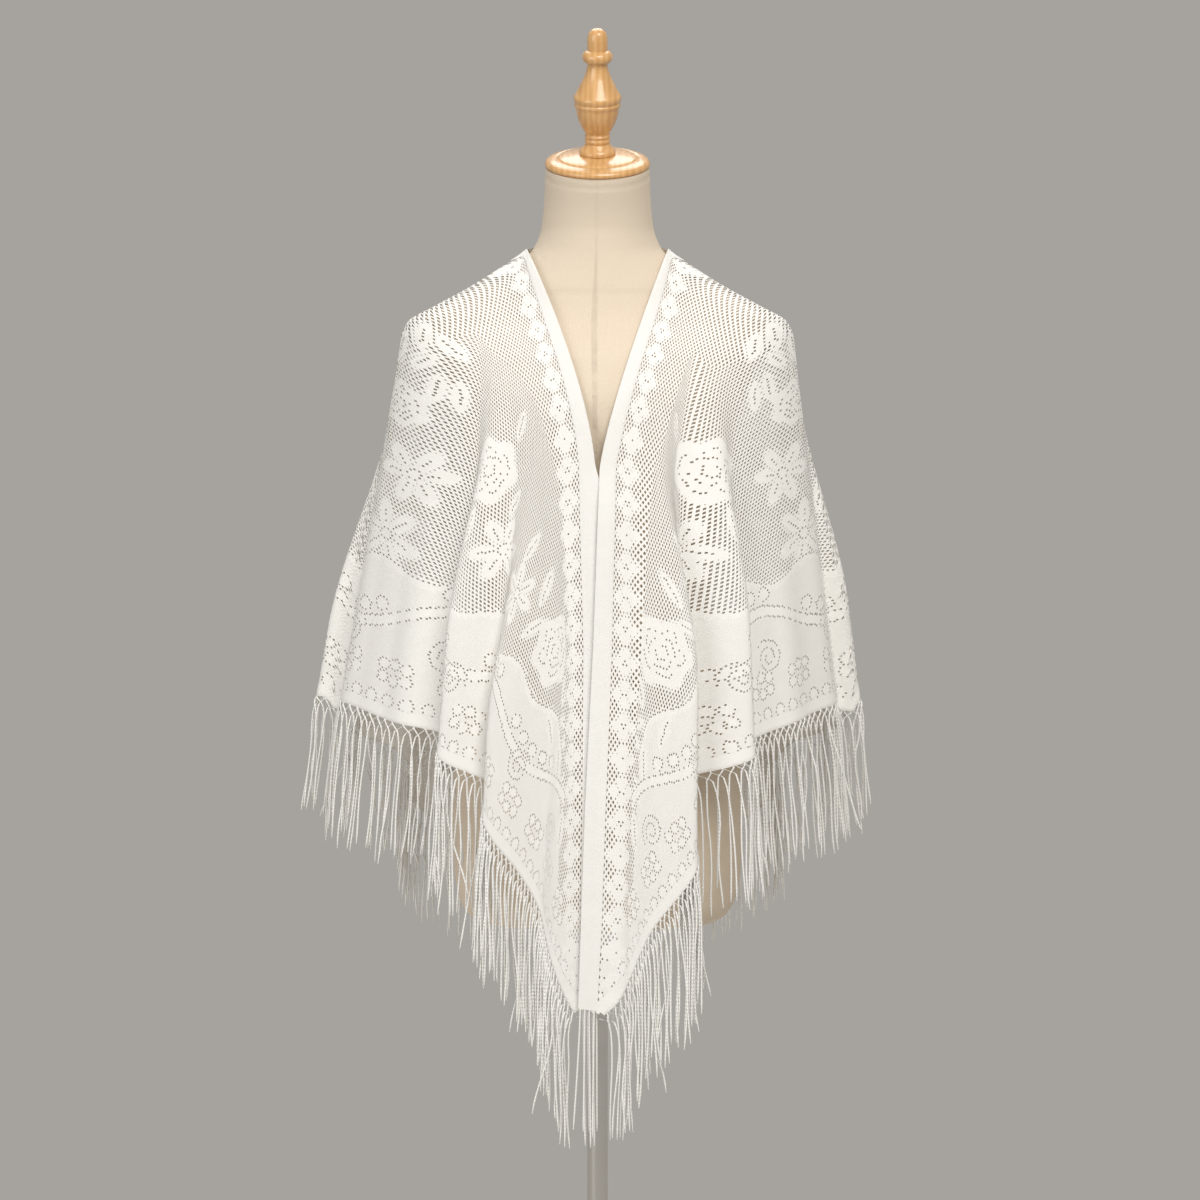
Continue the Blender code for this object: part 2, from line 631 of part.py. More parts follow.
def make_stand(steel, wood):
    cap = (
        (0.0, CAP_RADIUS - 0.001),
        (0.0015, CAP_RADIUS),
        (CAP_THICKNESS - 0.003, CAP_RADIUS),
        (CAP_THICKNESS, CAP_RADIUS - 0.003),
        (CAP_THICKNESS, STEP_RADIUS + 0.0005),
        (CAP_THICKNESS + STEP_THICKNESS - 0.001, STEP_RADIUS),
        (CAP_THICKNESS + STEP_THICKNESS, STEP_RADIUS - 0.001),
    )
    make_turned("neck_cap", cap, wood, along_neck(TOUCH_GAP), NECK_TILT, sides=28)
    cap_top = CAP_THICKNESS + STEP_THICKNESS + 2 * TOUCH_GAP
    make_turned("finial", FINIAL, wood, along_neck(cap_top), NECK_TILT, sides=20)
    base = (
        (0.0, BASE_RADIUS - 0.001),
        (0.001, BASE_RADIUS),
        (BASE_THICKNESS - 0.002, BASE_RADIUS),
        (BASE_THICKNESS, BASE_RADIUS - 0.002),
        (BASE_THICKNESS, COLLAR_RADIUS + 0.001),
        (BASE_THICKNESS + 0.001, COLLAR_RADIUS),
        (COLLAR_TOP - 0.002, COLLAR_RADIUS),
        (COLLAR_TOP, COLLAR_RADIUS - 0.002),
    )
    make_turned("stand_base", base, steel, sides=32)
    pole = ((COLLAR_TOP + TOUCH_GAP, POLE_RADIUS), (FORM_BOTTOM - TOUCH_GAP, POLE_RADIUS))
    make_turned("pole", pole, steel, sides=20)


def make_shawl(lace, band, fringe):
    for side in ("left", "right"):
        make_lace("lace_front_" + side, side, FRONT_RAYS, LACE_ROWS, lace)
        make_lace("lace_back_" + side, side, BACK_RAYS, LACE_ROWS, lace)
        make_band("band_" + side, side, band)
        for index, (low, high) in enumerate(zip(FRINGE_ENDS[:-1], FRINGE_ENDS[1:]), start=1):
            part = RIDGE_SHARE if index > 1 else 0.0
            name = f"fringe_{side}_{index}"
            make_fringe(name, side, low + part, high - RIDGE_SHARE, fringe, 100 * index + (side == "left"))


def main():
    clear_scene()
    lace = finish_material("lace", (0.86, 0.84, 0.80), 0.85)
    band = finish_material("band", (0.90, 0.89, 0.86), 0.8)
    fringe = finish_material("fringe", (0.90, 0.89, 0.86), 0.7)
    linen = finish_material("linen", (0.80, 0.70, 0.52), 0.9)
    wood = finish_material("turned_wood", (0.72, 0.42, 0.17), 0.3)
    steel = finish_material("polished_steel", (0.62, 0.60, 0.57), 0.2, 1.0)
    make_torso(linen)
    make_stand(steel, wood)
    make_shawl(lace, band, fringe)


main()
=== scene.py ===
"""Looks of the lace shawl on its dress form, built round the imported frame.

Metres, +Z up. The front faces -Y, +X is the viewer's right, and the origin is under the pole on the floor.
The lace is a net of small cells laid out on the flat triangle, then carried onto the body by the same drape
as the solids. Flat places are "along" the long edge from the nape and "across" from that edge.
"""

import bpy
import numpy as np
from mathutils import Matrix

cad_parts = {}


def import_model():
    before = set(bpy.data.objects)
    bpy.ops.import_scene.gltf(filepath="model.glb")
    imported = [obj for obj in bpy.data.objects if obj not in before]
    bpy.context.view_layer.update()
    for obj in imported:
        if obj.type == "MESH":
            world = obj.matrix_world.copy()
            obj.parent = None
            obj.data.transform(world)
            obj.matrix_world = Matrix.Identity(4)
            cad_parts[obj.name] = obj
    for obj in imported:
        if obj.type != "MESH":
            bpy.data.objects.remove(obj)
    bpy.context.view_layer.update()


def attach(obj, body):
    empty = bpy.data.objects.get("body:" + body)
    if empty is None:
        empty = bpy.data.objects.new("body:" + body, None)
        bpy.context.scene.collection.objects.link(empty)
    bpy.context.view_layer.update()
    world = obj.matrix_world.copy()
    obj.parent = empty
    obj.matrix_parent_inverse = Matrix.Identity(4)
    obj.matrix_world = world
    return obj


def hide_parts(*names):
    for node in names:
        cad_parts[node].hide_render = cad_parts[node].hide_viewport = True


# Flat cut of the shawl
HALF_EDGE = 0.92
BACK_DEPTH = 0.74
SLANT_LENGTH = np.hypot(HALF_EDGE, BACK_DEPTH)
NECK_SIDE = 0.085
BAND_WIDTH = 0.018
NECK_EASE = 0.007
TUCK_UNDER = 0.005
NECK_EASE_RAYS = (0.25, 0.45, 0.89, 0.96)
BACK_RAY = 0.88

# Where the shawl lies on the body
NECK_SIDE_HEIGHT = 1.378
NAPE_HEIGHT = 1.394
CLOTH_LOW = 0.42
SHOULDER_HEIGHT = 1.304
CROSSING_HEIGHT = 1.158
CROSSING_GAP = 0.002
NECK_SIDE_OUT = 0.0700
EDGE_BEND = {"left": 1.5, "right": 1.25}
SIDE_FLARE = {"left": 0.172, "right": 0.122}
SIGN = {"left": -1.0, "right": 1.0}

# Dress form sections: height, half width, front depth, back depth, centre (all metres)
FORM = np.array([
    (0.708, 0.118, 0.085, 0.088, 0.000),
    (0.714, 0.128, 0.094, 0.097, 0.000),
    (0.730, 0.138, 0.103, 0.106, 0.000),
    (0.760, 0.1435, 0.108, 0.112, 0.000),
    (0.820, 0.1450, 0.109, 0.114, 0.000),
    (0.890, 0.1390, 0.105, 0.107, 0.000),
    (0.960, 0.1240, 0.096, 0.094, 0.000),
    (1.030, 0.1115, 0.089, 0.083, 0.000),
    (1.090, 0.1165, 0.097, 0.087, 0.000),
    (1.160, 0.1300, 0.118, 0.096, 0.000),
    (1.220, 0.1420, 0.126, 0.104, 0.000),
    (1.262, 0.1600, 0.112, 0.107, 0.000),
    (1.290, 0.1770, 0.090, 0.104, 0.000),
    (1.306, 0.1770, 0.076, 0.098, -0.001),
    (1.322, 0.1510, 0.070, 0.092, -0.002),
    (1.340, 0.1200, 0.066, 0.084, -0.004),
    (1.360, 0.0860, 0.061, 0.074, -0.006),
    (1.378, 0.0640, 0.057, 0.064, -0.008),
    (1.400, 0.0555, 0.053, 0.055, -0.012),
    (1.430, 0.0525, 0.052, 0.052, -0.018),
    (1.459, 0.0515, 0.052, 0.052, -0.026),
])

# Cloth sections: height, half width, front depth, back depth, centre. Below the shoulder the flare adds width
CLOTH = np.array([
    (0.400, 0.1960, 0.152, 0.138, 0.000),
    (0.600, 0.1960, 0.150, 0.136, 0.000),
    (0.800, 0.1960, 0.147, 0.131, 0.000),
    (1.000, 0.1960, 0.142, 0.125, 0.000),
    (1.160, 0.1960, 0.1365, 0.119, 0.000),
    (1.220, 0.1960, 0.1310, 0.1155, 0.000),
    (1.262, 0.1960, 0.1170, 0.1135, 0.000),
    (1.290, 0.1955, 0.0960, 0.1105, 0.000),
    (1.306, 0.1895, 0.0830, 0.1050, -0.001),
    (1.322, 0.1625, 0.0770, 0.0990, -0.002),
    (1.340, 0.1290, 0.0725, 0.0912, -0.004),
    (1.360, 0.0965, 0.0675, 0.0815, -0.006),
    (1.378, 0.0700, 0.0635, 0.0705, -0.008),
    (1.400, 0.0615, 0.0590, 0.0615, -0.012),
    (1.430, 0.0590, 0.0580, 0.0590, -0.018),
])

# Front edge below the crossing: height, how far each edge stands out from the middle (minus is past it)
EDGE_BELOW = np.array([
    (0.40, 0.000, -0.021),
    (0.62, -0.001, -0.019),
    (0.83, -0.004, -0.012),
    (0.99, -0.004, -0.004),
    (1.158, 0.002, 0.002),
])

# Folds: share of the way round, half width as a share, height, lean (minus leans to the front),
# the height where it begins and the height below which it is full
FOLDS = {
    "left": (
        (0.045, 0.030, 0.006, 0.006, 1.02, 0.72),
        (0.090, 0.036, 0.026, 0.030, 1.18, 0.90),
        (0.146, 0.036, 0.024, 0.032, 1.27, 0.98),
        (0.260, 0.050, 0.006, 0.000, 1.20, 0.95),
        (0.420, 0.060, 0.004, 0.000, 1.24, 1.00),
        (0.560, 0.055, 0.024, -0.022, 1.24, 1.00),
        (0.680, 0.050, 0.020, -0.020, 1.20, 0.95),
        (0.800, 0.060, 0.024, -0.020, 1.22, 0.92),
        (0.925, 0.055, 0.018, -0.010, 1.18, 0.85),
    ),
    "right": (
        (0.040, 0.030, 0.006, 0.004, 1.08, 0.80),
        (0.084, 0.036, 0.026, 0.034, 1.22, 0.94),
        (0.170, 0.044, 0.020, 0.024, 1.27, 1.00),
        (0.290, 0.055, 0.006, 0.000, 1.18, 0.95),
        (0.410, 0.060, 0.004, 0.000, 1.22, 1.00),
        (0.545, 0.055, 0.022, -0.020, 1.25, 1.02),
        (0.660, 0.052, 0.022, -0.022, 1.22, 0.96),
        (0.790, 0.056, 0.022, -0.018, 1.20, 0.90),
        (0.905, 0.050, 0.020, -0.012, 1.22, 0.90),
    ),
}
# Rays: share of the way round where each hangs, flat angle from the long edge (degrees) on the left and right
RAY_SLANTS = np.array([
    (0.000, 0.0, 0.0),
    (0.026, 2.1, 1.8),
    (0.040, 4.7, 2.8),
    (0.052, 7.9, 4.4),
    (0.064, 11.2, 8.4),
    (0.076, 15.4, 12.0),
    (0.091, 20.2, 15.8),
    (0.118, 27.5, 28.5),
    (0.143, 34.0, 31.0),
    (0.170, 41.5, 34.5),
    (0.220, 46.5, 41.5),
    (0.300, 51.0, 49.5),
    (0.400, 56.0, 55.5),
    (0.500, 61.0, 61.0),
    (0.700, 75.0, 75.0),
    (0.880, 90.0, 90.0),
    (1.000, 90.0, 90.0),
])
SLANT_COLUMN = {"left": 0, "right": 1}
RIDGE_RAY = 0.5
RIDGE_SLANT = 61.0
EDGE_SLOPE = 0.30
RIDGE_SLOPE = 2.35
BACK_RIDGE_SLOPE = 1.95
BACK_SLOPE = 0.16
FAN_TOP = 1.365
FAN_FOOT = 1.315
OVERLAP_LIFT = 0.006
OVERLAP_SHARE = 0.10

# The net: cells in staggered rows, each a diamond round one hole (flat sizes)
ACROSS_STEP = 0.00345
ALONG_STEP = 0.0036
NET_HOLE = (0.00205, 0.00090)
SLIT_HOLE = (0.00138, 0.00098)
HOLE_ROOM = 0.40
SMALLEST_HOLE = 0.35
FILL_EDGE = 0.0007
FILL_EASE = 0.0028
BAND_POINT = 0.034
BAND_COVER = 0.0163
HEM_COVER = 0.0095
HEM_STRIP = 0.0125

# Fringe
CORD_PITCH = 0.0045
CORD_RADIUS = 0.00095
CORD_LENGTH = 0.136
BACK_CORD_SHARE = 0.80
CORD_FLARE = 0.6
LATTICE_DEPTH = 0.010
ROOT_SHIFT = 0.00675
STRAY_SHARE = 0.10
CORD_SIDES = 5
SHORT_SHARE = 0.05
SHORT_LENGTH = 0.8
FRINGE_SEED = {"left": 41, "right": 87}
BACK_CORDS_FROM = 0.70
BACK_CORDS_BLEND = 0.10
TIP_CORDS = 4

# Stand
POLE_RADIUS = 0.0105
BASE_RADIUS = 0.15
BASE_THICKNESS = 0.008
COLLAR_RADIUS = 0.020
COLLAR_TOP = 0.045
FORM_BOTTOM = 0.708
NECK_TILT = np.radians(20.5)
NECK_TOP = (0.0, -0.026, 1.459)
NECK_BEND = 1.385
CAP_TOP = 0.0120

# Finial, turned: distance along its axis, radius
FINIAL = (
    (0.0000, 0.0178),
    (0.0020, 0.0180),
    (0.0042, 0.0172),
    (0.0065, 0.0150),
    (0.0090, 0.0128),
    (0.0100, 0.0119),
    (0.0110, 0.0117),
    (0.0120, 0.0124),
    (0.0136, 0.0127),
    (0.0150, 0.0122),
    (0.0160, 0.0118),
    (0.0172, 0.0126),
    (0.0185, 0.0127),
    (0.0197, 0.0119),
    (0.0206, 0.0118),
    (0.0230, 0.0132),
    (0.0262, 0.0152),
    (0.0310, 0.0176),
    (0.0360, 0.0194),
    (0.0410, 0.0206),
    (0.0455, 0.0214),
    (0.0475, 0.0222),
    (0.0490, 0.0229),
    (0.0505, 0.0229),
    (0.0514, 0.0222),
    (0.0524, 0.0225),
    (0.0545, 0.0234),
    (0.0565, 0.0236),
    (0.0585, 0.0230),
    (0.0605, 0.0217),
    (0.0660, 0.0186),
    (0.0720, 0.0156),
    (0.0780, 0.0128),
    (0.0840, 0.0108),
    (0.0885, 0.0101),
    (0.0905, 0.0104),
    (0.0920, 0.0126),
    (0.0940, 0.0143),
    (0.0970, 0.0149),
    (0.1000, 0.0141),
    (0.1022, 0.0120),
    (0.1034, 0.0099),
    (0.1060, 0.0100),
    (0.1120, 0.0100),
    (0.1165, 0.0096),
    (0.1205, 0.0084),
    (0.1232, 0.0060),
    (0.1247, 0.0030),
    (0.1250, 0.0008),
)

# Neck cap, turned: a rounded rim, a groove and a low dome
CAP = (
    (0.0000, 0.0505),
    (0.0006, 0.0515),
    (0.0020, 0.0520),
    (0.0038, 0.0517),
    (0.0056, 0.0501),
    (0.0070, 0.0472),
    (0.0078, 0.0436),
    (0.0081, 0.0412),
    (0.0076, 0.0404),
    (0.0078, 0.0396),
    (0.0087, 0.0388),
    (0.0096, 0.0370),
    (0.0104, 0.0325),
    (0.0110, 0.0270),
    (0.0115, 0.0215),
    (0.0119, 0.0184),
)

# The pattern. The border's rows lie at these flat distances inside the slanting edge
RING_ROW = 0.0175
RING_STEP = 0.0187
RING_SIZE = 0.0062
PLAIN_EDGE = RING_ROW - 0.0085
CLUSTER_ROW = 0.046
CLUSTER_STEP = 0.0560
CLUSTER_SIZE = 0.0118
CURL_ROW = 0.071
CURL_STEP = 0.0950
CURL_SIZE = 0.018
SCROLL_HEIGHT = 0.095
SCROLL_RISE = 0.016
SCROLL_REPEAT = 0.190
SCROLL_START = 0.6
SCROLL_WIDTH = 0.0105
SCROLL_RING_GAP = 0.0215
SCROLL_RING_SIZE = 0.0066
BORDER_LENGTH = 1.18
BORDER_TOP = 0.146
BORDER_RIM = 0.006
SCALLOP_RISE = 0.007
SCALLOP_START = 1.1
CHAIN_MIDDLE = 0.0133
CHAIN_STEP = 0.0310
CHAIN_STRIP = 0.0265
NET_STRIP = 0.034
NET_STRIP_END = 0.045

# How near to a line a cell's middle has to lie for its hole to draw that line
LINE_HALF = 0.0016
WIDE_LINE_HALF = 0.0017
HEART_LINE_HALF = 0.0015

# Leaves, petals and roses, as shares of their size. Rose rings: share, lobes, where the first begins
LEAF_WIDTH = 0.34
PETAL_MIDDLE = 0.60
PETAL_HALF_LENGTH = 0.38
PETAL_HALF_WIDTH = 0.215
ROSE_RINGS = ((0.20, 2, 0.3), (0.42, 3, 1.4), (0.66, 5, 0.2))

# Flowers above the border: kind, length along the slanting edge, distance inside it, turn (degrees), size
BOUQUET = (
    ("petals", -0.095, 0.206, 90.0, 0.032),
    ("leaf", -0.064, 0.322, 95.0, 0.016),
    ("leaf", -0.050, 0.215, 80.0, 0.018),
    ("leaf", -0.088, 0.252, 100.0, 0.016),
    ("petals", 0.059, 0.174, 15.0, 0.033),
    ("petals", 0.041, 0.239, 50.0, 0.030),
    ("rose", -0.044, 0.268, 0.0, 0.031),
    ("rose", 0.056, 0.302, 30.0, 0.020),
    ("leaf", 0.0215, 0.3225, 85.0, 0.016),
    ("leaf", 0.0345, 0.3270, 96.0, 0.015),
    ("leaf", 0.0300, 0.3740, 54.0, 0.016),
    ("leaf", 0.0470, 0.3780, 74.0, 0.016),
    ("leaf", 0.0600, 0.3560, 104.0, 0.017),
    ("leaf", 0.0420, 0.3520, 120.0, 0.013),
    ("leaf", 0.102, 0.215, 80.0, 0.019),
    ("leaf", 0.104, 0.268, 120.0, 0.019),
)
BOUQUET_PLACES = (0.610, 0.870, 1.110)
MOTIFS = (
    ("rose", 0.348, 0.190, 20.0, 0.033),
    ("leaf", 0.352, 0.240, 95.0, 0.018),
    ("leaf", 0.402, 0.226, 80.0, 0.020),
    ("leaf", 0.392, 0.186, 120.0, 0.018),
    ("petals", 0.440, 0.196, 60.0, 0.030),
    ("leaf", 0.452, 0.240, 100.0, 0.019),
    ("leaf", 0.300, 0.182, 60.0, 0.018),
    ("petals", 0.262, 0.170, 20.0, 0.026),
    ("leaf", 0.254, 0.126, 48.0, 0.024),
    ("leaf", 0.228, 0.118, 75.0, 0.018),
    ("leaf", 0.300, 0.132, 30.0, 0.020),
    ("leaf", 0.196, 0.092, 52.0, 0.020),
    ("leaf", 0.215, 0.178, 100.0, 0.018),
)

# Seams of the form: turns round the body (degrees, 0 at the front), and how deep they press in
SEAM_TURNS = (0.0, 90.0, 180.0, 270.0)
SEAM_DEPTH = 0.0010
SEAM_HALF = 0.0016
SEAM_TOP = 1.37
SEAM_FADE = 0.02
FORM_RADIUS = 0.12
NECK_SEAM = 1.352
NECK_SEAM_DROP = 0.022
NECK_SEAM_HALF = 0.0018
NECK_HEM = 0.0085
NECK_HEM_HALF = 0.0015
NECK_HEM_SHARE = 0.8

# Camera and light
CAMERA_PLACE = (0.0025, -3.4, 1.149)
CAMERA_AIM = (0.0025, 0.0, 1.029)
VIEW_SPAN = 1.2
FLOOR_RADIUS = 1.3
GREY_WORLD = (0.381, 0.366, 0.342)


def smooth_rise(value):
    """0 below 0, 1 above 1, and an S between."""
    share = np.clip(value, 0.0, 1.0)
    return share * share * (3.0 - 2.0 * share)


def smooth_columns(table, height):
    """The table's columns after the first at each height, on cubic curves that don't overshoot."""
    heights = table[:, 0]
    steps = np.diff(heights)[:, None]
    slopes = np.diff(table[:, 1:], axis=0) / steps
    same_way = slopes[:-1] * slopes[1:] > 0
    mean = 2.0 * slopes[:-1] * slopes[1:] / np.where(same_way, slopes[:-1] + slopes[1:], 1.0)
    tangents = np.vstack([slopes[:1], np.where(same_way, mean, 0.0), slopes[-1:]])
    height = np.clip(height, heights[0], heights[-1])
    row = np.clip(np.searchsorted(heights, height, side="right") - 1, 0, len(heights) - 2)
    step = steps[row, 0]
    share = (height - heights[row]) / step
    low, high = table[row, 1:], table[row + 1, 1:]
    share, step = share[..., None], step[..., None]
    return (
        low * (1 + 2 * share) * (1 - share) ** 2
        + high * share**2 * (3 - 2 * share)
        + tangents[row] * step * share * (1 - share) ** 2
        - tangents[row + 1] * step * share**2 * (1 - share)
    )


def ring_point(sections, angle, sideways):
    """A point of the section ring. sections ends with half width, front, back and centre."""
    half_width, front, back, centre = np.moveaxis(sections, -1, 0)
    cosine = np.cos(angle)
    depth = np.where(cosine > 0, front, back)
    return np.stack([sideways * half_width * np.sin(angle), centre - depth * cosine], axis=-1)


def cloth_sections(side, height):
    sections = smooth_columns(CLOTH, height)
    below = np.clip(SHOULDER_HEIGHT - height, 0.0, None)
    sections[..., 0] += SIDE_FLARE[side] * (below - 0.02 * (1 - np.exp(-below / 0.02)))
    return sections


def edge_angle(side, height):
    """The angle of the front edge: a V down to where the fronts meet, then nearly straight down."""
    up = np.clip((height - CROSSING_HEIGHT) / (NECK_SIDE_HEIGHT - CROSSING_HEIGHT), 0.0, 1.0)
    rise = NECK_SIDE_OUT - CROSSING_GAP
    column = 1 if side == "left" else 2
    low = np.interp(height, EDGE_BELOW[:, 0], EDGE_BELOW[:, column])
    out = low + rise * up ** EDGE_BEND[side]
    half_width = cloth_sections(side, height)[..., 0]
    return np.arcsin(np.clip(out / half_width, -1.0, 1.0))


def share_round(side, angle, height):
    """0 at the front edge, half at the side and 1 in the middle of the back."""
    edge = edge_angle(side, height)
    quarter = 0.5 * np.pi
    front = 0.5 * (angle - edge) / np.maximum(quarter - edge, 1e-4)
    return np.where(angle < quarter, front, angle / np.pi)


def cloth_point(side, angle, height):
    """The middle of the cloth's wall, with its folds."""
    angle, height = np.broadcast_arrays(angle, height)
    flat = ring_point(cloth_sections(side, height), angle, SIGN[side])
    nudge = 0.002
    ahead = ring_point(cloth_sections(side, height), angle + nudge, SIGN[side])
    behind = ring_point(cloth_sections(side, height), angle - nudge, SIGN[side])
    along = ahead - behind
    along /= np.linalg.norm(along, axis=-1, keepdims=True)
    outward = np.stack([along[..., 1], -along[..., 0]], axis=-1) * SIGN[side]
    share = share_round(side, angle, height)
    lift = np.zeros_like(height)
    slide = np.zeros_like(height)
    for centre, half, rise, lean, top, full in FOLDS[side]:
        distance = np.clip(np.abs(share - centre) / half, 0.0, 1.0)
        bump = 0.5 + 0.5 * np.cos(np.pi * distance)
        grown = bump * smooth_rise((top - height) / (top - full))
        lift += rise * grown
        slide += lean * grown
    if side == "right":
        under = smooth_rise((CROSSING_HEIGHT + 0.01 - height) / 0.06)
        lift += OVERLAP_LIFT * under * smooth_rise(1.0 - np.abs(share) / OVERLAP_SHARE)
    flat = flat + outward * lift[..., None] + along * slide[..., None]
    return np.concatenate([flat, height[..., None]], axis=-1)


def ray_start(ray):
    """Flat distance of a ray's start from the nape: the side of the neck, or the back of the neck edge."""
    return NECK_SIDE * np.clip((1.0 - ray) / (1.0 - BACK_RAY), 0.0, 1.0)


def ray_slant(side, ray):
    """Flat angle between a ray and the long edge."""
    return np.radians(smooth_columns(RAY_SLANTS, np.asarray(ray, float))[..., SLANT_COLUMN[side]])


def ray_reach(side, ray):
    """Flat length of a ray from its start to the slanting edge."""
    start, slant = ray_start(ray), ray_slant(side, ray)
    return (1 - start / HALF_EDGE) / (np.cos(slant) / HALF_EDGE + np.sin(slant) / BACK_DEPTH)


def ray_top(ray):
    back = np.clip((ray - BACK_RAY) / (1.0 - BACK_RAY), 0.0, 1.0)
    return NECK_SIDE_HEIGHT + (NAPE_HEIGHT - NECK_SIDE_HEIGHT) * smooth_rise(back)


def ray_angle(side, ray, height):
    """Where a ray lies at a height: it fans out from the neck, then hangs at its own place round the body."""
    edge = edge_angle(side, height)
    quarter = 0.5 * np.pi
    hung = np.where(ray < RIDGE_RAY, edge + (quarter - edge) * ray / RIDGE_RAY, np.pi * ray)
    drop = np.clip(NECK_SIDE_HEIGHT - height, 0.0, None)
    half_width = cloth_sections(side, height)[..., 0]
    fan = np.minimum(np.degrees(ray_slant(side, ray)) / RIDGE_SLANT, 1.0)
    lowest, highest = np.arctan(-EDGE_SLOPE), np.arctan(RIDGE_SLOPE - EDGE_SLOPE)
    spare = highest - lowest - np.radians(RIDGE_SLANT)
    front_slope = np.tan(lowest + np.radians(RIDGE_SLANT) * fan + spare * fan**2) + EDGE_SLOPE
    front_out = half_width * np.sin(edge) + drop * front_slope
    front = np.arcsin(np.clip(front_out / half_width, -1.0, 1.0))
    front = np.minimum(front, hung)
    back_share = np.clip((ray - BACK_RAY) / (1.0 - BACK_RAY), 0.0, 1.0)
    turned = np.clip((ray - RIDGE_RAY) / (BACK_RAY - RIDGE_RAY), 0.0, 1.0)
    steepest = np.arctan(BACK_RIDGE_SLOPE)
    back_slope = np.tan(steepest + (BACK_SLOPE - steepest) * turned) * (1.0 - back_share)
    back_out = NECK_SIDE_OUT * np.cos(0.5 * np.pi * back_share) + drop * back_slope
    back = np.pi - np.arcsin(np.clip(back_out / half_width, 0.0, 1.0))
    below_ridge = smooth_rise((FAN_TOP - height) / (FAN_TOP - FAN_FOOT))
    back = back + (np.maximum(back, hung) - back) * below_ridge
    return np.where(ray < RIDGE_RAY, front, back)


def place_on_cloth(side, ray, reach):
    """Angle and height of the place that lies this far along a ray."""
    ray, reach = np.broadcast_arrays(np.asarray(ray, float), np.asarray(reach, float))
    rays, which = np.unique(ray, return_inverse=True)
    share = np.linspace(0.0, 1.0, 241)
    heights = ray_top(rays)[:, None] + (CLOTH_LOW - ray_top(rays)[:, None]) * share[None, :] ** 1.4
    angles = ray_angle(side, rays[:, None], heights)
    flat = ring_point(cloth_sections(side, heights), angles, SIGN[side])
    path = np.concatenate([flat, heights[..., None]], axis=-1)
    steps = np.linalg.norm(np.diff(path, axis=1), axis=-1)
    length = np.concatenate([np.zeros((len(rays), 1)), np.cumsum(steps, axis=1)], axis=1)
    which = which.reshape(ray.shape)
    height = np.empty(ray.shape)
    for index in range(len(rays)):
        mine = which == index
        height[mine] = np.interp(reach[mine], length[index], heights[index])
    return ray_angle(side, ray, height), height


def ray_through(side, along, across):
    """Ray and reach of a flat place: along the long edge from the nape, and across from it."""
    low = np.zeros_like(along)
    high = np.ones_like(along)
    for _ in range(40):
        middle = 0.5 * (low + high)
        slant = ray_slant(side, middle)
        short = (along - ray_start(middle)) * np.sin(slant) < across * np.cos(slant)
        low = np.where(short, middle, low)
        high = np.where(short, high, middle)
    ray = 0.5 * (low + high)
    return ray, np.hypot(along - ray_start(ray), across)


def ray_hem_length(side, ray):
    """Flat length along the slanting edge from the front point to a ray's end."""
    ray = np.asarray(ray, float)
    reach = ray_reach(side, ray)
    along = ray_start(ray) + reach * np.cos(ray_slant(side, ray))
    across = reach * np.sin(ray_slant(side, ray))
    return np.hypot(HALF_EDGE - along, across)


def hem_distance(along, across):
    """Flat distance from the slanting edge, inside it."""
    corner = HALF_EDGE * BACK_DEPTH / SLANT_LENGTH
    return corner - (BACK_DEPTH * along + HALF_EDGE * across) / SLANT_LENGTH


def hem_length(along, across):
    """Flat distance along the slanting edge from the front point."""
    return (HALF_EDGE * (HALF_EDGE - along) + BACK_DEPTH * across) / SLANT_LENGTH


def flat_place(length, inside):
    """Flat place at this length along the slanting edge and this far inside it."""
    along = HALF_EDGE - (HALF_EDGE * length + BACK_DEPTH * inside) / SLANT_LENGTH
    across = (BACK_DEPTH * length - HALF_EDGE * inside) / SLANT_LENGTH
    return along, across


def drape_table(side):
    """Places and outward normals of the cloth on a grid of rays and shares of their reach."""
    rays = np.concatenate([np.linspace(0.0, 0.22, 400, endpoint=False), np.linspace(0.22, 1.0, 320)])
    shares = np.linspace(0.0, 1.06, 360)
    reach = ray_reach(side, rays)[:, None] * shares[None, :]
    angle, height = place_on_cloth(side, np.broadcast_to(rays[:, None], reach.shape), reach)
    places = cloth_point(side, angle, height)
    down_it = np.gradient(places, axis=1)
    round_it = np.gradient(places, axis=0)
    normals = np.cross(down_it, round_it) * SIGN[side]
    length = np.linalg.norm(normals, axis=-1, keepdims=True)
    normals = normals / np.maximum(length, 1e-12)
    normals[:, :4] = normals[:, 4:5]
    return {"side": side, "rays": rays, "shares": shares, "places": places, "normals": normals}


def read_grid(values, row, row_share, column, column_share):
    row_share, column_share = row_share[..., None], column_share[..., None]
    near = values[row, column] * (1 - column_share) + values[row, column + 1] * column_share
    far = values[row + 1, column] * (1 - column_share) + values[row + 1, column + 1] * column_share
    return near * (1 - row_share) + far * row_share


def on_cloth(table, along, across, lift=0.0):
    """World places of flat places, lifted outward from the cloth."""
    side, rays, shares = table["side"], table["rays"], table["shares"]
    ray, reach = ray_through(side, along, np.maximum(across, 1e-6))
    share = np.clip(reach / ray_reach(side, ray), 0.0, shares[-1])
    row = np.clip(np.searchsorted(rays, ray, side="right") - 1, 0, len(rays) - 2)
    row_share = (ray - rays[row]) / (rays[row + 1] - rays[row])
    step = shares[1] - shares[0]
    column = np.clip((share / step).astype(int), 0, len(shares) - 2)
    column_share = share / step - column
    place = read_grid(table["places"], row, row_share, column, column_share)
    normal = read_grid(table["normals"], row, row_share, column, column_share)
    normal /= np.maximum(np.linalg.norm(normal, axis=-1, keepdims=True), 1e-9)
    return place + normal * np.asarray(lift)[..., None]


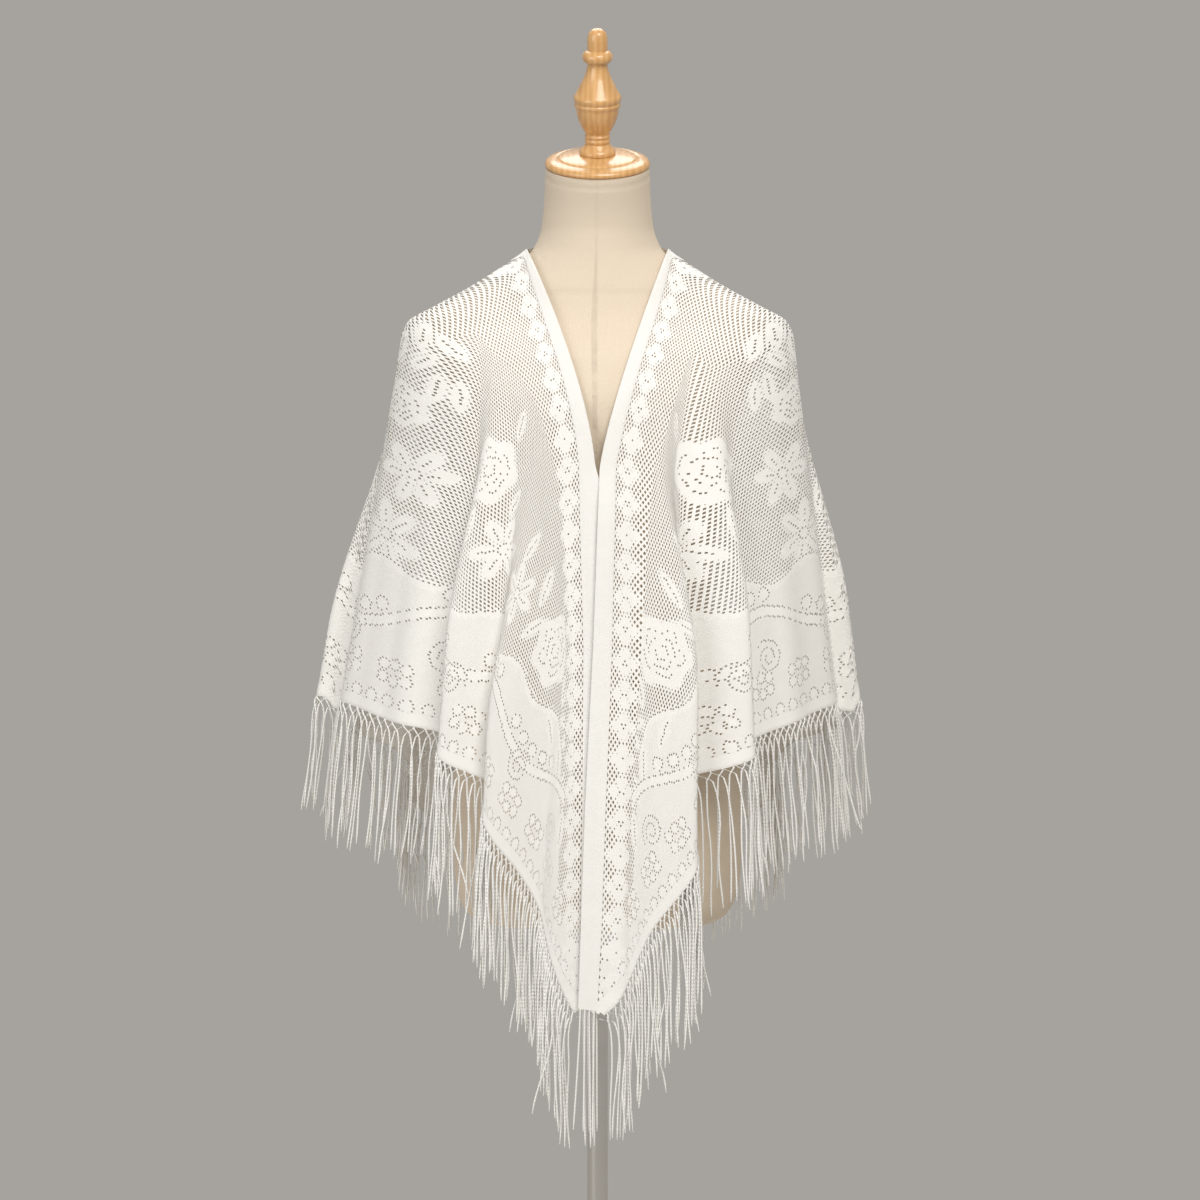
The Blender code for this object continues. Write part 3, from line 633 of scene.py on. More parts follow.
def mesh_object(name, points, faces, materials, slots=None, flat=None):
    """A smooth mesh. faces is an array of quads or a list, and slots gives each face's material.

    flat gives each point's UV place.
    """
    mesh = bpy.data.meshes.new(name)
    mesh.from_pydata(points.tolist(), [], faces.tolist() if isinstance(faces, np.ndarray) else faces)
    for material in materials:
        mesh.materials.append(material)
    if slots is not None:
        mesh.polygons.foreach_set("material_index", np.asarray(slots, np.int32))
    if flat is not None:
        layer = mesh.uv_layers.new(name="flat")
        corners = np.empty(len(mesh.loops), np.int32)
        mesh.loops.foreach_get("vertex_index", corners)
        layer.data.foreach_set("uv", flat[corners].astype(np.float32).ravel())
    mesh.shade_smooth()
    mesh.update()
    obj = bpy.data.objects.new(name, mesh)
    bpy.context.scene.collection.objects.link(obj)
    return obj


def grid_faces(rows, columns, close=False):
    """Quads over a grid of points, row by row."""
    last = columns if close else columns - 1
    row, column = np.meshgrid(np.arange(rows - 1), np.arange(last), indexing="ij")
    after = (column + 1) % columns
    here, beside = row * columns + column, row * columns + after
    quads = [here, beside, beside + columns, here + columns]
    return np.stack([quad.ravel() for quad in quads], axis=-1)


def local_places(along, across, centre, turn):
    """Places seen from a motif's centre, turned so that x runs along the motif."""
    du, dv = along - centre[0], across - centre[1]
    cosine, sine = np.cos(turn), np.sin(turn)
    return du * cosine + dv * sine, -du * sine + dv * cosine


def centre_distance(x, y):
    """Distance from a motif's centre, kept over 0 so that it can be divided by."""
    return np.maximum(np.hypot(x, y), 1e-9)


def fill_shape(ground, away):
    """Close cloth where away, the distance inside the shape's edge, is over 0, and smaller holes round it."""
    filled = away > FILL_EDGE
    ground["hole"][filled] = 0
    ground["sheer"][filled] = False
    size = SMALLEST_HOLE + (1.0 - SMALLEST_HOLE) * (FILL_EDGE - away) / FILL_EASE
    ground["size"][:] = np.minimum(ground["size"], np.clip(size, SMALLEST_HOLE, 1.0))


def mark_outline(ground, chosen, x_move, y_move, turn=0.0):
    """Small holes in the chosen cells, moved by these distances in the motif's own turned axes."""
    cosine, sine = np.cos(turn), np.sin(turn)
    ground["hole"][chosen] = 2
    ground["move_length"][chosen] = (x_move * cosine - y_move * sine)[chosen]
    ground["move_inside"][chosen] = (x_move * sine + y_move * cosine)[chosen]


def mark_round(ground, chosen, gap, x, y, turn=0.0):
    """Small holes in the chosen cells, moved by the gap straight out from the motif's centre."""
    radius = centre_distance(x, y)
    mark_outline(ground, chosen, gap * x / radius, gap * y / radius, turn)


def chart_leaf(ground, x, y, turn, size):
    """A pointed leaf with a row of holes down its middle."""
    half = LEAF_WIDTH * size * np.clip(1.0 - (x / size) ** 2, 0.0, 1.0) ** 0.8
    fill_shape(ground, np.minimum(half - np.abs(y), size - np.abs(x)))
    vein = (np.abs(y) < WIDE_LINE_HALF) & (np.abs(x) < 0.62 * size)
    mark_outline(ground, vein, 0.0 * x, -y, turn)


def chart_petal(ground, x, y, turn, size, angle):
    """One petal of a flower, pointing away from its heart at this angle."""
    cosine, sine = np.cos(angle), np.sin(angle)
    out = x * cosine + y * sine - PETAL_MIDDLE * size
    beside = -x * sine + y * cosine
    share = np.hypot(out / (PETAL_HALF_LENGTH * size), beside / (PETAL_HALF_WIDTH * size))
    fill_shape(ground, (1.0 - share) * 0.25 * size)
    vein = (share < 0.9) & (np.abs(beside) < LINE_HALF) & (out < 0.12 * size)
    mark_outline(ground, vein, beside * sine, -beside * cosine, turn)


def chart_petals(ground, x, y, turn, size):
    """An open flower: six veined petals round a heart with a ring of holes."""
    for number in range(6):
        chart_petal(ground, x, y, turn, size, np.radians(60.0 * number + 8.0 * (number % 2)))
    radius = centre_distance(x, y)
    fill_shape(ground, 0.27 * size - radius)
    gap = 0.17 * size - radius
    mark_round(ground, np.abs(gap) < HEART_LINE_HALF, gap, x, y, turn)


def chart_rose(ground, x, y, turn, size):
    """A full rose: its petals are drawn by broken rings of small holes round its heart."""
    radius, around = centre_distance(x, y), np.arctan2(y, x)
    edge = size * (1.0 + 0.09 * np.cos(6 * around + 0.7))
    fill_shape(ground, edge - radius)
    for share, lobes, start in ROSE_RINGS:
        lobe = np.cos(lobes * around + start)
        gap = edge * share * (1.0 + 0.10 * lobe) - radius
        drawn = (radius < edge) & (lobe > -0.80) & (np.abs(gap) < LINE_HALF)
        mark_round(ground, drawn, gap, x, y, turn)


def chart_ring(ground, x, y, size):
    """A dot of close cloth inside a ring of small holes."""
    radius = centre_distance(x, y)
    ground["sheer"][radius < size] = False
    ground["hole"][radius < size] = 0
    gap = size - radius
    mark_round(ground, np.abs(gap) < LINE_HALF, gap, x, y)


def chart_line(ground, distance):
    """A row of small holes where the distance is 0, moved onto the line."""
    mark_outline(ground, np.abs(distance) < WIDE_LINE_HALF, 0.0 * distance, -distance)


def chart_curl(ground, x, y, turn, size):
    """A scroll: a line of small holes that curls in to its middle."""
    radius, around = centre_distance(x, y), np.arctan2(y, x)
    for lap in (0.5, 1.5):
        gap = size * (0.18 + 0.41 * (around / (2 * np.pi) + lap)) - radius
        mark_round(ground, np.abs(gap) < LINE_HALF, gap, x, y, turn)


def chart_cluster(ground, x, y, size):
    """Six small rings in two rows, touching."""
    for column in (-1.0, 0.0, 1.0):
        for row in (-0.5, 0.5):
            lean = 0.18 * size * (1.0 - column**2)
            chart_ring(ground, x - column * size, y - row * size - lean * np.sign(row), 0.46 * size)


FLOWER_CHARTS = {"rose": chart_rose, "leaf": chart_leaf, "petals": chart_petals}


def chart_near(ground, near, chart, x, y, *values):
    """Draws one motif, working on the cells near it alone."""
    part = {key: cells[near] for key, cells in ground.items()}
    chart(part, x[near], y[near], *values)
    for key, cells in part.items():
        ground[key][near] = cells


def scroll_line(length):
    """How far inside the slanting edge the border's wavy double line runs."""
    return SCROLL_HEIGHT + SCROLL_RISE * np.sin(2 * np.pi * length / SCROLL_REPEAT + SCROLL_START)


def chart_flowers(ground, length, inside):
    """The flowers of the fronts, and the bouquet at each of its places."""
    motifs = list(MOTIFS)
    for start in BOUQUET_PLACES:
        motifs += [(kind, start + place, away, turn, size) for kind, place, away, turn, size in BOUQUET]
    for kind, place, away, turn, size in motifs:
        x, y = local_places(length, inside, (place, away), np.radians(turn))
        near = np.hypot(x, y) < 1.5 * size
        chart_near(ground, near, FLOWER_CHARTS[kind], x, y, np.radians(turn), size)


def chart_border(ground, length, inside, beside):
    """The border's thin cloth with its scalloped top and its wavy double line."""
    top = BORDER_TOP + SCALLOP_RISE * np.sin(4 * np.pi * length / SCROLL_REPEAT + SCALLOP_START)
    beside_chain = (beside < NET_STRIP) & (inside > NET_STRIP_END)
    border = (inside < top) & (ground["hole"] == 1) & ~beside_chain
    ground["hole"][border] = 0
    ground["sheer"][border] = True
    ground["sheer"][border & (inside > top - BORDER_RIM)] = False
    chart_line(ground, inside - top)
    line = scroll_line(length)
    between = (inside > line) & (inside < line + SCROLL_WIDTH)
    ground["sheer"][between] = False
    ground["hole"][between] = 0
    for away in (0.0, SCROLL_WIDTH):
        chart_line(ground, inside - line - away)


def chart_rows(ground, length, inside):
    """The border's repeats along the slanting edge: rings, clusters of rings and curls."""
    for number in range(int(BORDER_LENGTH / RING_STEP)):
        place = (number + 0.6) * RING_STEP
        rings = [(RING_ROW, RING_SIZE)]
        if number % 7 < 5:
            rings.append((scroll_line(place) + SCROLL_RING_GAP, SCROLL_RING_SIZE))
        for away, size in rings:
            near = (np.abs(length - place) < RING_STEP) & (np.abs(inside - away) < RING_STEP)
            chart_near(ground, near, chart_ring, length - place, inside - away, size)
    for number in range(int(BORDER_LENGTH / CLUSTER_STEP)):
        x, y = length - (number + 0.5) * CLUSTER_STEP, inside - CLUSTER_ROW
        chart_cluster(ground, x, y, CLUSTER_SIZE)
    for number in range(int(BORDER_LENGTH / CURL_STEP)):
        centre = ((number + 0.35) * CURL_STEP, CURL_ROW + 0.006 * (number % 2))
        turn = np.radians(-35.0 + 20.0 * (number % 3))
        x, y = local_places(length, inside, centre, turn)
        chart_curl(ground, x, y, turn, CURL_SIZE)
    plain = inside < PLAIN_EDGE
    ground["hole"][plain] = 0
    ground["sheer"][plain] = False


def chart_chain(ground, along, inside, beside):
    """The strip of net beside the band, with its chain of small plain flowers."""
    strip = (beside < CHAIN_STRIP) & (inside > NET_STRIP_END)
    ground["hole"][strip] = 1
    ground["size"][strip] = 1.0
    out = beside - CHAIN_MIDDLE
    on = np.mod(along - 0.006, CHAIN_STEP) - 0.5 * CHAIN_STEP
    fill_shape(ground, 0.0042 * (1.0 - np.hypot((np.abs(out) - 0.0068) / 0.0040, on / 0.0052)))
    fill_shape(ground, 0.0050 * (1.0 - np.hypot(out / 0.0052, (np.abs(on) - 0.0074) / 0.0060)))
    fill_shape(ground, 0.0046 - np.hypot(on, out))
    ground["hole"][(np.abs(on) < 0.0028) & (np.abs(out) < 0.0021)] = 2
    ground["hole"][(beside > -0.001) & (beside < 0.0026)] = 1


def chart_lace(along, across):
    """What each cell of the lace is, with its hole's size and how far that is moved.

    hole is 0 for close cloth, 1 for net and 2 for a small hole, and sheer says that the cloth is thin.
    """
    inside, length = hem_distance(along, across), hem_length(along, across)
    beside = across - BAND_WIDTH
    ground = {
        "hole": np.ones(along.shape, int),
        "sheer": np.zeros(along.shape, bool),
        "size": np.ones(along.shape),
        "move_length": np.zeros(along.shape),
        "move_inside": np.zeros(along.shape),
    }
    chart_flowers(ground, length, inside)
    chart_border(ground, length, inside, beside)
    chart_rows(ground, length, inside)
    chart_chain(ground, along, inside, beside)
    return ground


def lace_cells():
    """Rows and columns of the cells that lie on the lace, with their flat middles."""
    rows = np.arange(int(HALF_EDGE / ALONG_STEP) + 1)
    columns = np.arange(int(BACK_DEPTH / ACROSS_STEP) + 1)
    row, column = [values.ravel() for values in np.meshgrid(rows, columns, indexing="ij")]
    along = row * ALONG_STEP
    across = (column + 0.5 * (row % 2)) * ACROSS_STEP
    keep = (hem_distance(along, across) > HEM_COVER) & (across > BAND_COVER)
    return row[keep], column[keep], along[keep], across[keep]


def move_holes(ground, along, across, cells):
    """The middles of the cells' holes, moved onto the outlines as far as the cell has room."""
    length, inside = ground["move_length"][cells], ground["move_inside"][cells]
    move_along = -(HALF_EDGE * length + BACK_DEPTH * inside) / SLANT_LENGTH
    move_across = (BACK_DEPTH * length - HALF_EDGE * inside) / SLANT_LENGTH
    share = np.abs(move_along) / ALONG_STEP + np.abs(move_across) / (0.5 * ACROSS_STEP)
    limit = HOLE_ROOM * (ground["hole"][cells] == 2) / np.maximum(share, HOLE_ROOM)
    return along[cells] + limit * move_along, across[cells] + limit * move_across


def make_lace(side, table, thread, sheer_cloth):
    """The lace of one side as two pieces, in front of and behind the shoulder line, from shared corners."""
    row, column, along, across = lace_cells()
    ground = chart_lace(along, across)
    hole, sheer = ground["hole"], ground["sheer"]
    odd = row % 2
    low = column - 1 + odd
    stride = 4096
    corner_keys = np.stack([
        (row + 1) * stride + low + 1,
        (row + 2) * stride + column + 1,
        (row + 1) * stride + low + 2,
        row * stride + column + 1,
    ], axis=-1)
    keys, index = np.unique(corner_keys, return_inverse=True)
    corners = index.reshape(-1, 4)
    corner_row, corner_column = keys // stride - 1, keys % stride - 1
    corner_along = np.maximum(corner_row * ALONG_STEP, 0.0)
    corner_across = (corner_column + 0.5 * ((corner_row + 1) % 2)) * ACROSS_STEP
    open_cells = np.flatnonzero(hole > 0)
    sizes = np.array([(0.0, 0.0), NET_HOLE, SLIT_HOLE])[hole[open_cells]]
    sizes *= np.where(hole == 1, ground["size"], 1.0)[open_cells, None]
    moved = move_holes(ground, along, across, open_cells)
    ring_along = moved[0][:, None] + sizes[:, :1] * np.array([0.0, 1.0, 0.0, -1.0])
    ring_across = moved[1][:, None] + sizes[:, 1:] * np.array([-1.0, 0.0, 1.0, 0.0])
    flat_along = np.concatenate([corner_along, np.maximum(ring_along, 0.0).ravel()])
    flat_across = np.concatenate([corner_across, ring_across.ravel()])
    points = on_cloth(table, flat_along, flat_across)
    flat = np.stack([flat_along, flat_across], axis=-1)
    closed_cells = np.flatnonzero(hole == 0)
    rings = len(corner_along) + np.arange(4 * len(open_cells)).reshape(-1, 4)
    frames = []
    for edge in range(4):
        after = (edge + 1) % 4
        outer = corners[open_cells]
        frames.append(np.stack([outer[:, edge], outer[:, after], rings[:, after], rings[:, edge]], axis=-1))
    faces = np.concatenate([corners[closed_cells]] + frames)
    cell_of_face = np.concatenate([closed_cells] + [open_cells] * 4)
    slots = np.where(sheer[cell_of_face] & (hole[cell_of_face] != 1), 1, 0)
    if side == "right":
        faces = faces[:, ::-1]
    ray, _ = ray_through(side, along, across)
    in_front = ray[cell_of_face] < RIDGE_RAY
    for place, chosen in (("front", in_front), ("back", ~in_front)):
        used, renumbered = np.unique(faces[chosen], return_inverse=True)
        name = f"lace_{place}_{side}"
        quads = renumbered.reshape(-1, 4)
        materials = (thread, sheer_cloth)
        obj = mesh_object("shown_" + name, points[used], quads, materials, slots[chosen], flat[used])
        cells = ray < RIDGE_RAY if place == "front" else ray >= RIDGE_RAY
        cut = (float(np.ptp(across[cells])), float(np.ptp(along[cells])))
        area = float(cells.sum()) * ACROSS_STEP * ALONG_STEP
        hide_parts(name)
        yield place, obj, cut, area


def make_hem(side, table, thread):
    """The close, plain strip along the slanting edge."""
    lengths = np.linspace(0.0, SLANT_LENGTH, 420)
    inside = np.array([0.0, 0.0006, 0.004, 0.008, HEM_STRIP])
    along, across = flat_place(lengths[None, :], inside[:, None])
    along, across = np.maximum(along, 0.0), np.maximum(across, 0.0)
    lift = np.broadcast_to(np.array([0.0, 0.5, 0.35, 0.3, 0.3])[:, None] * 0.001, along.shape)
    points = on_cloth(table, along, across, lift).reshape(-1, 3)
    flat = np.stack([along.ravel(), across.ravel()], axis=-1)
    keep = grid_faces(len(inside), len(lengths))
    blunt = along.ravel()[keep].max(axis=1) < HALF_EDGE - BAND_POINT + 0.004
    obj = mesh_object("hem_" + side, points, keep[blunt], (thread,), None, flat)
    return obj


def band_width(rays):
    """The band is eased out a little where it turns round the side of the neck."""
    begin, full, until, end = NECK_EASE_RAYS
    rise = smooth_rise((rays - begin) / (full - begin))
    fall = smooth_rise((end - rays) / (end - until))
    return BAND_WIDTH + NECK_EASE * rise * fall


def make_band(side, table, thread):
    """The plain double band along the long edge, slightly rounded over its width."""
    along = np.linspace(0.0, HALF_EDGE - BAND_POINT, 420)
    share = np.array([0.0, 0.03, 0.12, 0.3, 0.5, 0.7, 0.88, 0.97, 1.0])
    ray, _ = ray_through(side, along, np.full(along.shape, 1e-6))
    lift = 0.0003 + 0.0009 * (1.0 - (2.0 * share - 1.0) ** 6)
    grid_across = (band_width(ray) + 0.0006)[None, :] * share[:, None]
    grid_along = np.broadcast_to(along[None, :], grid_across.shape)
    grid_lift = np.broadcast_to(lift[:, None], grid_along.shape)
    points = on_cloth(table, grid_along, grid_across, grid_lift)
    if side == "left":
        under = smooth_rise((CROSSING_HEIGHT + 0.010 - points[..., 2]) / 0.030)
        points[..., 0] += TUCK_UNDER * under * np.clip(1.0 - share / 0.5, 0.0, 1.0)[:, None]
    points = points.reshape(-1, 3)
    flat = np.stack([grid_along.ravel(), grid_across.ravel()], axis=-1)
    obj = mesh_object("shown_band_" + side, points, grid_faces(len(share), len(along)), (thread,), None, flat)
    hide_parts("band_" + side)
    return obj


def cord_mesh(path, radius, sides):
    """Points and faces of a thin tube along each path (cords, steps, 3), narrowed at its lower end."""
    cords, steps = path.shape[:2]
    turns = 2 * np.pi * np.arange(sides) / sides
    ring = np.stack([np.cos(turns), np.sin(turns), np.zeros(sides)], axis=-1)
    size = np.full(steps, radius)
    size[-1] *= 0.45
    points = path[:, :, None, :] + ring[None, None] * size[None, :, None, None]
    step, turn = np.meshgrid(np.arange(steps - 1), np.arange(sides), indexing="ij")
    after = (turn + 1) % sides
    here, beside = step * sides + turn, step * sides + after
    quads = np.stack([here, beside, beside + sides, here + sides], axis=-1).reshape(-1, 4)
    shift = np.arange(cords)[:, None, None] * (steps * sides)
    return points.reshape(-1, 3), (quads[None] + shift).reshape(-1, 4)


def tip_cords(table, steps, rng):
    """Cords hanging from the blunt lower end of the band, each straight down and a little uneven."""
    across = (np.arange(TIP_CORDS) + 0.5) * BAND_WIDTH / TIP_CORDS
    along = np.full(TIP_CORDS, HALF_EDGE - BAND_POINT - 0.001)
    root = on_cloth(table, along, across, np.full(TIP_CORDS, 0.0004))
    share = np.linspace(0.0, 1.0, steps)
    fall = CORD_LENGTH * rng.uniform(0.86, 1.0, TIP_CORDS)
    drift = rng.normal(0.0, 0.005, (TIP_CORDS, 3)) * (1.0, 0.5, 0.0)
    path = root[:, None, :] - share[None, :, None] * fall[:, None, None] * (0.0, 0.0, 1.0)
    return path + drift[:, None, :] * (share[None, :, None] ** 1.25)


def knotted_cords(table, hang, side_step, rng):
    """The top of each cord, from the hem down to its knot. Neighbours cross in pairs."""
    root = np.clip(hang + side_step * ROOT_SHIFT, 0.030, SLANT_LENGTH)
    share = np.linspace(0.0, 1.0, 5)
    length = root[:, None] + (hang - root)[:, None] * smooth_rise(share)[None, :]
    below = -0.0006 + LATTICE_DEPTH * share[None, :] * rng.uniform(0.85, 1.15, len(hang))[:, None]
    along, across = flat_place(length, -below)
    lift = (0.0007 * side_step)[:, None] * np.sin(np.pi * share)[None, :] + 0.0004
    return on_cloth(table, np.maximum(along, 0.0), np.maximum(across, 0.0), lift)


def hanging_cords(side, hang, knotted, rng):
    """The free length of each cord below its knot: uneven, slightly wavy, and a few of them stray."""
    count = len(hang)
    start = knotted[:, -1]
    leaving = knotted[:, -1] - knotted[:, -2]
    leaving /= np.linalg.norm(leaving, axis=-1, keepdims=True)
    rays = np.linspace(0.0, 1.0, 3001)
    ray = np.interp(hang, ray_hem_length(side, rays), rays)
    angle, height = place_on_cloth(side, ray, ray_reach(side, ray))
    behind = smooth_rise((hang - BACK_CORDS_FROM) / BACK_CORDS_BLEND)
    full_length = CORD_LENGTH * (1.0 + (BACK_CORD_SHARE - 1.0) * behind)
    fall = full_length * rng.uniform(0.88, 1.05, count) - LATTICE_DEPTH
    fall[rng.random(count) < SHORT_SHARE] *= SHORT_LENGTH
    lower = cloth_point(side, angle, height - fall)
    drift = CORD_FLARE * (lower - start) * (1.0, 1.0, 0.0)
    drift += rng.normal(0.0, 0.0025, (count, 3)) * (1.0, 0.7, 0.0)
    stray = rng.random(count) < STRAY_SHARE
    drift[stray] += rng.normal(0.0, 0.013, (int(stray.sum()), 3)) * (1.0, 0.5, 0.0)
    steps = np.linspace(0.0, 1.0, 13)[1:]
    down = steps[None, :, None] * fall[:, None, None] * np.array([0.0, 0.0, -1.0])
    settle = 0.006 * (1.0 - np.exp(-steps * 12.0))
    eased = leaving[:, None, :] * (1.0, 1.0, 0.0) * settle[None, :, None]
    swing = drift[:, None, :] * (steps[None, :, None] ** 1.25)
    phase = rng.uniform(0.0, 2 * np.pi, (count, 2))
    size = rng.uniform(0.0004, 0.0016, (count, 2)) * np.where(stray, 2.2, 1.0)[:, None]
    for axis in range(2):
        waves = rng.uniform(0.6, 1.3, count)[:, None]
        begin = phase[:, axis : axis + 1]
        ripple = np.sin(2 * np.pi * steps[None, :] * waves + begin) - np.sin(begin)
        swing[:, :, axis] += size[:, axis : axis + 1] * ripple * np.minimum(1.0, steps * 3.0)[None, :]
    return start[:, None, :] + down + eased + swing


def make_fringe(side, table, thread):
    """Cords knotted into the hem all along it, and a few at the band's lower end."""
    rng = np.random.default_rng(FRINGE_SEED[side])
    count = int((SLANT_LENGTH - 0.036) / CORD_PITCH)
    hang = BAND_POINT + (np.arange(count) + 0.5) * CORD_PITCH + rng.normal(0.0, 0.0006, count)
    side_step = np.where(np.arange(count) % 2 == 0, 1.0, -1.0)
    knotted = knotted_cords(table, hang, side_step, rng)
    free = hanging_cords(side, hang, knotted, rng)
    path = np.concatenate([knotted, free], axis=1)
    path = np.concatenate([path, tip_cords(table, path.shape[1], rng)])
    points, faces = cord_mesh(path, CORD_RADIUS, CORD_SIDES)
    around = np.tile(np.arange(CORD_SIDES) / float(CORD_SIDES), path.shape[0] * path.shape[1])
    rise = np.repeat(path[:, :, 2].ravel(), CORD_SIDES)
    obj = mesh_object("fringe_" + side, points, faces, (thread,), None, np.stack([around, rise], axis=-1))
    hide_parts(*[f"fringe_{side}_{number}" for number in range(1, 7)])
    return obj


def make_torso(linen):
    """The padded form with its sewn seams pressed in."""
    around = np.radians(np.arange(0.0, 360.0, 2.0))
    heights = np.concatenate([np.linspace(0.708, 0.735, 12), np.linspace(0.738, NECK_TOP[2], 260)])
    sections = smooth_columns(FORM, heights)
    sideways = np.where(around <= np.pi, 1.0, -1.0)
    folded = np.where(around <= np.pi, around, 2 * np.pi - around)
    flat = ring_point(sections[:, None, :], folded[None, :], sideways[None, :])
    slope = np.tan(NECK_TILT) * smooth_rise((heights - NECK_BEND) / (NECK_TOP[2] - NECK_BEND))
    centre = sections[:, 3]
    rise = slope[:, None] * (flat[..., 1] - centre[:, None])
    rings = np.concatenate([flat, (heights[:, None] + rise)[..., None]], axis=-1)
    seam = np.zeros(rings.shape[:2])
    for turn in SEAM_TURNS:
        away = np.abs((around - np.radians(turn) + np.pi) % (2 * np.pi) - np.pi) * FORM_RADIUS
        below_neck = smooth_rise((SEAM_TOP - heights) / SEAM_FADE)
        seam += np.exp(-((away / SEAM_HALF) ** 2))[None, :] * below_neck[:, None]
    neck_seam = NECK_SEAM - NECK_SEAM_DROP * np.cos(folded)
    seam += np.exp(-(((heights[:, None] - neck_seam[None, :]) / NECK_SEAM_HALF) ** 2))
    from_hem = heights[:, None] - NECK_TOP[2] + NECK_HEM
    seam += NECK_HEM_SHARE * np.exp(-((from_hem / NECK_HEM_HALF) ** 2))
    out = np.stack([flat[..., 0], flat[..., 1] - centre[:, None], np.zeros(seam.shape)], axis=-1)
    out /= np.linalg.norm(out, axis=-1, keepdims=True)
    rings -= out * np.clip(seam, 0.0, 1.0)[..., None] * SEAM_DEPTH
    count, rows = len(around), len(heights)
    points = rings.reshape(-1, 3)
    faces = grid_faces(rows, count, close=True).tolist()
    faces.append(list(range(count - 1, -1, -1)))
    faces.append([(rows - 1) * count + column for column in range(count)])
    unrolled = np.broadcast_arrays(around[None, :] * 0.14, heights[:, None])
    flat_places = np.stack(unrolled, axis=-1).reshape(-1, 2)
    obj = mesh_object("shown_torso", points, faces, (linen,), None, flat_places)
    obj.data.set_sharp_from_angle(angle=np.radians(50.0))
    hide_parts("torso")
    return obj


def make_turned(name, node, profile, material, origin=(0.0, 0.0, 0.0), tilt=0.0, sides=96):
    """A smooth solid of revolution from (distance along the axis, radius) rows."""
    distance, radius = np.array(profile).T[:, :, None]
    turns = 2 * np.pi * np.arange(sides)[None, :] / sides
    x, y = radius * np.cos(turns), radius * np.sin(turns)
    leaned_y = y * np.cos(tilt) - distance * np.sin(tilt)
    leaned_z = y * np.sin(tilt) + distance * np.cos(tilt)
    points = np.stack([x, leaned_y, leaned_z], axis=-1).reshape(-1, 3) + origin
    rows = len(profile)
    faces = grid_faces(rows, sides, close=True).tolist()
    faces.append(list(range(sides - 1, -1, -1)))
    faces.append([(rows - 1) * sides + side for side in range(sides)])
    obj = mesh_object(name, points, faces, (material,))
    obj.data.set_sharp_from_angle(angle=np.radians(40.0))
    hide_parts(node)
    return obj


def along_neck(distance):
    """The point this far up the neck's own axis from the middle of its top."""
    return np.array(NECK_TOP) + distance * np.array([0.0, -np.sin(NECK_TILT), np.cos(NECK_TILT)])


def finer_profile(profile, step=0.0006):
    """The turned profile read on a smooth curve."""
    table = np.array(profile)
    heights = np.arange(0.0, table[-1, 0], step)
    heights = np.append(heights, table[-1, 0])
    return np.stack([heights, smooth_columns(table, heights)[:, 0]], axis=-1)


def make_stand(wood, steel):
    pieces = [make_turned("shown_cap", "neck_cap", CAP, wood, along_neck(0.0003), NECK_TILT)]
    fine = finer_profile(FINIAL)
    foot = along_neck(CAP_TOP + 0.0006)
    pieces.append(make_turned("shown_finial", "finial", fine, wood, foot, NECK_TILT))
    base = [(0.0, BASE_RADIUS - 0.001), (0.001, BASE_RADIUS), (BASE_THICKNESS - 0.002, BASE_RADIUS)]
    base += [(BASE_THICKNESS - 0.0006, BASE_RADIUS - 0.0006), (BASE_THICKNESS, BASE_RADIUS - 0.002)]
    base += [(BASE_THICKNESS, COLLAR_RADIUS + 0.001), (BASE_THICKNESS + 0.001, COLLAR_RADIUS)]
    base += [(COLLAR_TOP - 0.002, COLLAR_RADIUS), (COLLAR_TOP, COLLAR_RADIUS - 0.002)]
    pieces.append(make_turned("shown_base", "stand_base", base, steel))
    pole = [(COLLAR_TOP + 0.0003, POLE_RADIUS), (FORM_BOTTOM - 0.0003, POLE_RADIUS)]
    pieces.append(make_turned("shown_pole", "pole", pole, steel, sides=64))
    return pieces


def new_material(name, colour, roughness, metallic=0.0):
    material = bpy.data.materials.new(name)
    material.use_nodes = True
    shader = material.node_tree.nodes["Principled BSDF"]
    shader.inputs["Base Color"].default_value = (*colour, 1.0)
    shader.inputs["Roughness"].default_value = roughness
    shader.inputs["Metallic"].default_value = metallic
    return material, shader


def add_node(material, kind, values=(), **settings):
    node = material.node_tree.nodes.new(kind)
    for key, value in settings.items():
        setattr(node, key, value)
    for key, value in values:
        node.inputs[key].default_value = value
    return node


def connect(material, source, target):
    material.node_tree.links.new(source, target)


def wave_along(material, coordinate, direction, pitch, phase=0.0):
    """A smooth wave with this pitch in metres along one direction of the coordinate."""
    scale = 2 * np.pi / (20.0 * pitch)
    wave = add_node(material, "ShaderNodeTexWave", (("Scale", scale), ("Phase Offset", phase)))
    wave.wave_type = "BANDS"
    wave.bands_direction = direction
    connect(material, coordinate, wave.inputs["Vector"])
    return wave.outputs["Fac"]


def combine(material, operation, first, second):
    node = add_node(material, "ShaderNodeMath", operation=operation)
    for slot, value in zip(node.inputs, (first, second)):
        if isinstance(value, float):
            slot.default_value = value
        else:
            connect(material, value, slot)
    return node.outputs[0]


def vary_colour(material, shader, fac, dark, light):
    ramp = add_node(material, "ShaderNodeValToRGB")
    ramp.color_ramp.elements[0].color = (*dark, 1.0)
    ramp.color_ramp.elements[1].color = (*light, 1.0)
    connect(material, fac, ramp.inputs["Fac"])
    connect(material, ramp.outputs["Color"], shader.inputs["Base Color"])


def add_bump(material, shader, height, distance, strength=1.0):
    bump = add_node(material, "ShaderNodeBump", (("Distance", distance), ("Strength", strength)))
    connect(material, height, bump.inputs["Height"])
    connect(material, bump.outputs["Normal"], shader.inputs["Normal"])


